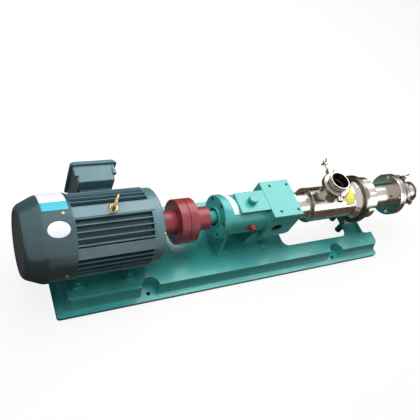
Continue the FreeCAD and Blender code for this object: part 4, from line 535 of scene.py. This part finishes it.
def background_material(name, colour, share):
    """White to the camera and to reflections by the share, and the rest keeps the object's shadow."""
    material, tree, output, _ = blank_material(name)
    seen = add(tree, "ShaderNodeMath", {0: background_rays(tree), 1: share}, operation="MULTIPLY")
    matt = add(tree, "ShaderNodeBsdfDiffuse", {"Color": linear(colour)})
    glow = add(tree, "ShaderNodeEmission", {"Color": WHITE, "Strength": 1.0})
    both = add(
        tree, "ShaderNodeMixShader",
        {0: seen.outputs[0], 1: matt.outputs["BSDF"], 2: glow.outputs["Emission"]},
    )
    tree.links.new(both.outputs["Shader"], output.inputs["Surface"])
    return material


def matt_card(name, colour):
    """Dull card for reflections."""
    material, tree, output, _ = blank_material(name)
    matt = add(tree, "ShaderNodeBsdfDiffuse", {"Color": linear(colour), "Roughness": 0.4})
    tree.links.new(matt.outputs["BSDF"], output.inputs["Surface"])
    return material


def make_world():
    """White behind the object, with a soft even fill from all round."""
    world = bpy.data.worlds.new("studio")
    world.use_nodes = True
    tree = world.node_tree
    tree.nodes.clear()
    strength = add(
        tree, "ShaderNodeMapRange", {"Value": background_rays(tree), "To Min": 0.1, "To Max": 1.0}
    )
    back = add(tree, "ShaderNodeBackground", {"Color": WHITE, "Strength": strength.outputs["Result"]})
    output = tree.nodes.new("ShaderNodeOutputWorld")
    tree.links.new(back.outputs["Background"], output.inputs["Surface"])
    bpy.context.scene.world = world


def softbox(name, place, target, wide, deep, watts, glint, fill):
    """A rectangular lamp that faces a point. Without glint it isn't seen in the metal, and without fill it
    gives highlights alone."""
    lamp = bpy.data.lights.new(name, "AREA")
    lamp.shape = "RECTANGLE"
    lamp.size = wide
    lamp.size_y = deep
    lamp.energy = watts
    thing = bpy.data.objects.new(name, lamp)
    bpy.context.scene.collection.objects.link(thing)
    thing.location = place
    thing.rotation_euler = (Vector(target) - Vector(place)).to_track_quat("-Z", "Y").to_euler()
    thing.visible_glossy = glint
    thing.visible_diffuse = fill


# Name, place, the point it faces, width, depth, watts, glint, fill.
LAMPS = (
    ("top_light", (-0.5, 0.7, 2.7), (0, 0, 0.2), 2.6, 1.7, 92, False, True),
    ("gleam_light", (1.5, 1.4, 2.6), (0, 0, 0.3), 2.6, 2.2, 50, True, True),
    ("end_light", (2.6, -1.9, 1.3), (0, 0, 0.2), 1.3, 1.3, 17, True, True),
    ("strip_light", (0.15, -2.6, 0.24), (-0.5, 0, 0.2), 0.9, 0.34, 9, True, False),
    ("near_light", (-1.9, -2.3, 1.9), (0, 0, 0.2), 1.4, 1.0, 3.5, False, True),
)
# Cards that only the metal sees. Name, centre, half sides.
UPRIGHT_CARDS = (
    ("card_near", (0.4, -2.2, 0.35), (2.4, 0, 0), (0, 0.05, 0.3)),
    ("card_far", (0.5, 2.4, 0.6), (2.8, 0, 0), (0, 0.1, 0.6)),
    ("card_end", (2.7, 0.2, 0.6), (0, 1.6, 0), (0, 0, 0.6)),
)
WHITE_SHARE = 0.88
FLOOR_REACH = 14
GROUND_REACH = 4
# The floor, the ground card and the shades lie this far below the base, one above the other.
FLOOR_DROP = 0.2 * MM
GROUND_DROP = 0.1 * MM
SHADE_DROP = 0.05 * MM
ANCHOR_X = 427.5 * MM
ANCHOR_Y = 163 * MM
SHADE_REACH = 11 * MM
SENSOR_WIDTH = 36


class PUMP_OT_stage(bpy.types.Operator):
    """Make the floor, the lamps, the reflection cards and the photograph's camera"""

    bl_idname = "pump.stage"
    bl_label = "Stage"

    def execute(self, context):
        colours, _, shot = settings()
        scene = context.scene
        scene.view_settings.view_transform = "Standard"
        make_world()
        floor = background_material("pale_floor", colours.floor, WHITE_SHARE)
        low = CAD_BOX[0].z
        plate("floor", (0, 0, low - FLOOR_DROP), (FLOOR_REACH, 0, 0), (0, FLOOR_REACH, 0), floor)
        for lamp in LAMPS:
            softbox(*lamp)
        ground = matt_card("brown_card", colours.ground)
        dark = matt_card("dark_card", colours.dark_card)
        lying = plate(
            "ground_card", (0, 0, low - GROUND_DROP), (GROUND_REACH, 0, 0), (0, GROUND_REACH, 0), ground
        )
        upright = [plate(*card, dark) for card in UPRIGHT_CARDS]
        for card in (lying, *upright):
            card.visible_camera = False
            card.visible_diffuse = card is lying
            card.visible_shadow = False
            card.visible_transmission = False
        # Painted shadow: dark plates on the ground below the anchor holes stand for the shadow the base casts
        # on itself there.
        for x in (-ANCHOR_X, ANCHOR_X):
            for y in (-ANCHOR_Y, ANCHOR_Y):
                plate("hole_shade", (x, y, low - SHADE_DROP), (SHADE_REACH, 0, 0), (0, SHADE_REACH, 0), dark)
        camera = bpy.data.cameras.new("photo_camera")
        camera.lens = shot.lens
        camera.sensor_width = SENSOR_WIDTH
        camera.clip_end = 60
        eye = bpy.data.objects.new("photo_camera", camera)
        scene.collection.objects.link(eye)
        right = Vector(shot.right)
        up = Vector(shot.up)
        turn = Matrix((right, up, right.cross(up))).transposed()
        eye.matrix_world = Matrix.LocRotScale(Vector(shot.place), turn.to_quaternion(), None)
        scene.camera = eye
        return {"FINISHED"}


class PUMP_OT_castings(bpy.types.Operator):
    """Paint and soften every CAD node that keeps its own shape"""

    bl_idname = "pump.castings"
    bl_label = "CAD pieces"

    foot_top: length("Foot", "Top of the motor's feet", 97)

    def execute(self, context):
        _, sizes, _ = settings()
        for name, slot in SLOTS.items():
            edge = sizes.soft_edge if name in SOFT_NODES else sizes.crisp_edge
            finish_node(name, slot, edge)
        for name, finish in OTHER_FINISHES.items():
            FRAME["nodes"][name].data.materials[0] = MATERIALS[finish]
        paint_feet(self.foot_top)
        return {"FINISHED"}


def punched_cells(y, z, x, pitch, hole, sides=12, sheet=1.2 * MM):
    """Cells of a punched sheet: each is a rectangle round its hole. The outer ring of points is the hole's
    circle pushed out to the rectangle along each ray, and the same rings lie on both faces."""
    angle = (np.arange(sides) + 0.5) * 2 * math.pi / sides
    round_y, round_z = np.cos(angle), np.sin(angle)
    half_y, half_z = pitch / 2, pitch * math.sqrt(3) / 4
    reach = 1 / np.maximum(np.abs(round_y) / half_y, np.abs(round_z) / half_z)
    rings_y = np.stack([reach * round_y, hole * round_y, hole * round_y, reach * round_y])
    rings_z = np.stack([reach * round_z, hole * round_z, hole * round_z, reach * round_z])
    rings_x = np.array([x, x, x + sheet, x + sheet])[:, None] + 0 * rings_y
    ring = np.stack([rings_x, rings_y, rings_z], axis=-1)
    points, faces = grid(ring, wrap_v=True, flip=True)
    shift = np.stack([0 * y, y, z + SHAFT_Z], axis=-1)
    every = points[None] + shift[:, None]
    index = faces[None] + (np.arange(len(y)) * len(points))[:, None, None]
    return every.reshape(-1, 3), index.reshape(-1, 4)


class PUMP_OT_cowl(bpy.types.Operator):
    """Make the fan cowl: a spun sheet with a rounded shoulder and a punched grille"""

    bl_idname = "pump.cowl"
    bl_label = "Fan cowl"

    sheet: length("Sheet", "Thickness of the steel", 2)
    straight: length("Straight", "Length of the cowl's straight part", 91)
    face: length("Face", "Radius where the shoulder meets the grille", 108)
    border: length("Border", "Plain ring between the shoulder and the holes", 10)
    bend: length("Bend", "Rounding of the cowl's bends", 9)
    steps: IntProperty(name="Bend steps", description="Steps round a bend", default=6, min=2)

    def execute(self, context):
        _, sizes, _ = settings()
        rear = corner("fan_cowl", 0)
        rim = corner("fan_cowl", 0, True)
        radius = (corner("fan_cowl", 1, True) - corner("fan_cowl", 1)) / 2
        slope = rim - self.straight
        grille = self.face - self.border
        outer = [
            (rim, radius), (slope, radius), (rear + 9 * MM, self.face + 8 * MM), (rear, self.face - 2 * MM),
            (rear, grille),
        ]
        inner = [
            (rear + self.sheet, grille), (rear + self.sheet, self.face - 4 * MM),
            (rear + 10 * MM, self.face + 5 * MM), (slope + 1 * MM, radius - self.sheet),
            (rim, radius - self.sheet),
        ]
        shell = turned(rounded(outer + inner, self.bend, self.steps))
        pitch = sizes.hole_pitch
        reach = math.ceil(grille / pitch)
        steps = np.arange(-reach, reach + 1)
        rows, columns = np.meshgrid(steps, steps, indexing="ij")
        y = (columns + 0.5 * (rows % 2)) * pitch
        z = rows * pitch * math.sqrt(3) / 2
        kept = np.hypot(y, z) < grille + pitch * 0.4
        cells = punched_cells(y[kept], z[kept], rear + self.sheet * 0.9, pitch, sizes.hole_radius)
        piece = put_mesh("fan_cowl_sheet", [shell, cells], "cowl_paint", "root")
        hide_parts("fan_cowl")
        return {"FINISHED"}


def patch(name, slot, body, radius, x_range, angle_range, oval=False, lean=0.0):
    """A label bent round the shaft's axis: angle 0 is the top and grows towards the viewer. An oval one's
    place along the shaft goes with the sine of a parameter and its half width with the cosine. One that
    leans is moved along the shaft by an even share of its lean from its first angle to its last."""
    sizes = settings()[1]
    x_low, x_high = x_range
    a_low, a_high = (math.radians(value) for value in angle_range)
    if oval:
        t = np.radians(np.linspace(-89, 89, 40))[:, None]
        share = np.linspace(-1, 1, 16)[None, :]
        x = (x_low + x_high) / 2 + (x_high - x_low) / 2 * np.sin(t) + 0 * share
        a = (a_low + a_high) / 2 + (a_high - a_low) / 2 * np.cos(t) * share
    else:
        x, a = np.meshgrid(np.linspace(x_low, x_high, 12), np.linspace(a_low, a_high, 32), indexing="ij")
        x = x + lean * (a - a_low) / (a_high - a_low)
    at = radius + sizes.label_lift
    points = np.stack([x, -at * np.sin(a), SHAFT_Z + at * np.cos(a)], axis=-1)
    piece = put_mesh(name, [grid(points, flip=True)], slot, body)
    thick = piece.modifiers.new("Thickness", "SOLIDIFY")
    thick.thickness = sizes.label_sheet
    thick.offset = 1
    return piece


class PUMP_OT_labels(bpy.types.Operator):
    """Make the blank labels on the cowl, the barrel and the casing"""

    bl_idname = "pump.labels"
    bl_label = "Labels"

    band: FloatProperty(name="Band", description="Where white meets cyan, in degrees", default=-20.5)
    lean: length("Lean", "How far the barrel's label leans along the shaft", 8)

    def execute(self, context):
        _, sizes, _ = settings()
        rim = corner("fan_cowl", 0, True)
        cowl = (corner("fan_cowl", 1, True) - corner("fan_cowl", 1)) / 2
        square = (rim - 88 * MM, rim - 8.5 * MM)
        oval = (rim - 82 * MM, rim - 16 * MM)
        patch("cowl_label_top", "paper", "root", cowl, square, (-60, self.band))
        patch("cowl_label_band", "cyan", "root", cowl, square, (self.band, -5.5))
        patch("cowl_oval", "paper", "root", cowl, oval, (10, 31), oval=True)
        flange = corner("bearing_cover", 0, True)
        strip = (flange + 17 * MM, flange + 39 * MM)
        patch("barrel_label", "paper", "root", sizes.barrel, strip, (-48, 33), lean=self.lean)
        bell = corner("suction_casing", 0, True)
        wide = (bell - 82 * MM, bell - 36 * MM)
        patch("casing_label", "yellow", "root", sizes.casing, wide, (-42, 50))
        return {"FINISHED"}


class PUMP_OT_welds(bpy.types.Operator):
    """Make the weld bead where the suction nozzle meets the casing"""

    bl_idname = "pump.welds"
    bl_label = "Weld bead"

    bead: length("Bead", "Radius of the weld bead", 1.9)
    ripple: length("Ripple", "Height of its ripples", 0.25)
    ripples: IntProperty(name="Ripples", description="Ripples round the bead", default=90, min=1)

    def execute(self, context):
        _, sizes, _ = settings()
        t = np.linspace(0, 2 * math.pi, 360, endpoint=False)
        radius = self.bead + self.ripple * np.sin(t * self.ripples)
        nozzle = sizes.pipe + self.bead * 0.4
        x = middle("suction_stub", 0) + nozzle * np.cos(t)
        y = nozzle * np.sin(t)
        z = SHAFT_Z + np.sqrt((sizes.casing + self.bead * 0.3) ** 2 - y ** 2)
        saddle = bead_along(np.stack([x, y, z], axis=-1), radius)
        put_mesh("nozzle_weld", [saddle], "stainless", "root")
        return {"FINISHED"}


OPERATORS = (
    PUMP_OT_stage,
    PUMP_OT_castings,
    PUMP_OT_cowl,
    PUMP_OT_labels,
    PUMP_OT_welds,
)


class PUMP_PT_panel(bpy.types.Panel):
    """The pump's pieces, one button each"""

    bl_idname = "PUMP_PT_panel"
    bl_label = "Progressive Cavity Pump"
    bl_space_type = "VIEW_3D"
    bl_region_type = "UI"
    bl_category = "Pump"

    def draw(self, context):
        for kind in OPERATORS:
            self.layout.operator(kind.bl_idname)
        for group in settings():
            for key in group.__annotations__:
                self.layout.prop(group, key)


CLASSES = (PumpColours, PumpSizes, PumpCamera, *OPERATORS, PUMP_PT_panel)


def register():
    """Adds the classes and the scene's property groups."""
    for kind in CLASSES:
        bpy.utils.register_class(kind)
    bpy.types.Scene.pump_colours = PointerProperty(type=PumpColours)
    bpy.types.Scene.pump_sizes = PointerProperty(type=PumpSizes)
    bpy.types.Scene.pump_camera = PointerProperty(type=PumpCamera)


def unregister():
    """Takes the property groups and the classes away again."""
    del bpy.types.Scene.pump_camera
    del bpy.types.Scene.pump_sizes
    del bpy.types.Scene.pump_colours
    for kind in reversed(CLASSES):
        bpy.utils.unregister_class(kind)


def main():
    """Builds everything in order."""
    register()
    MATERIALS.update(make_materials())
    for kind in OPERATORS:
        section, action = kind.bl_idname.split(".")
        getattr(getattr(bpy.ops, section), action)()


if __name__ == "__main__":
    main()
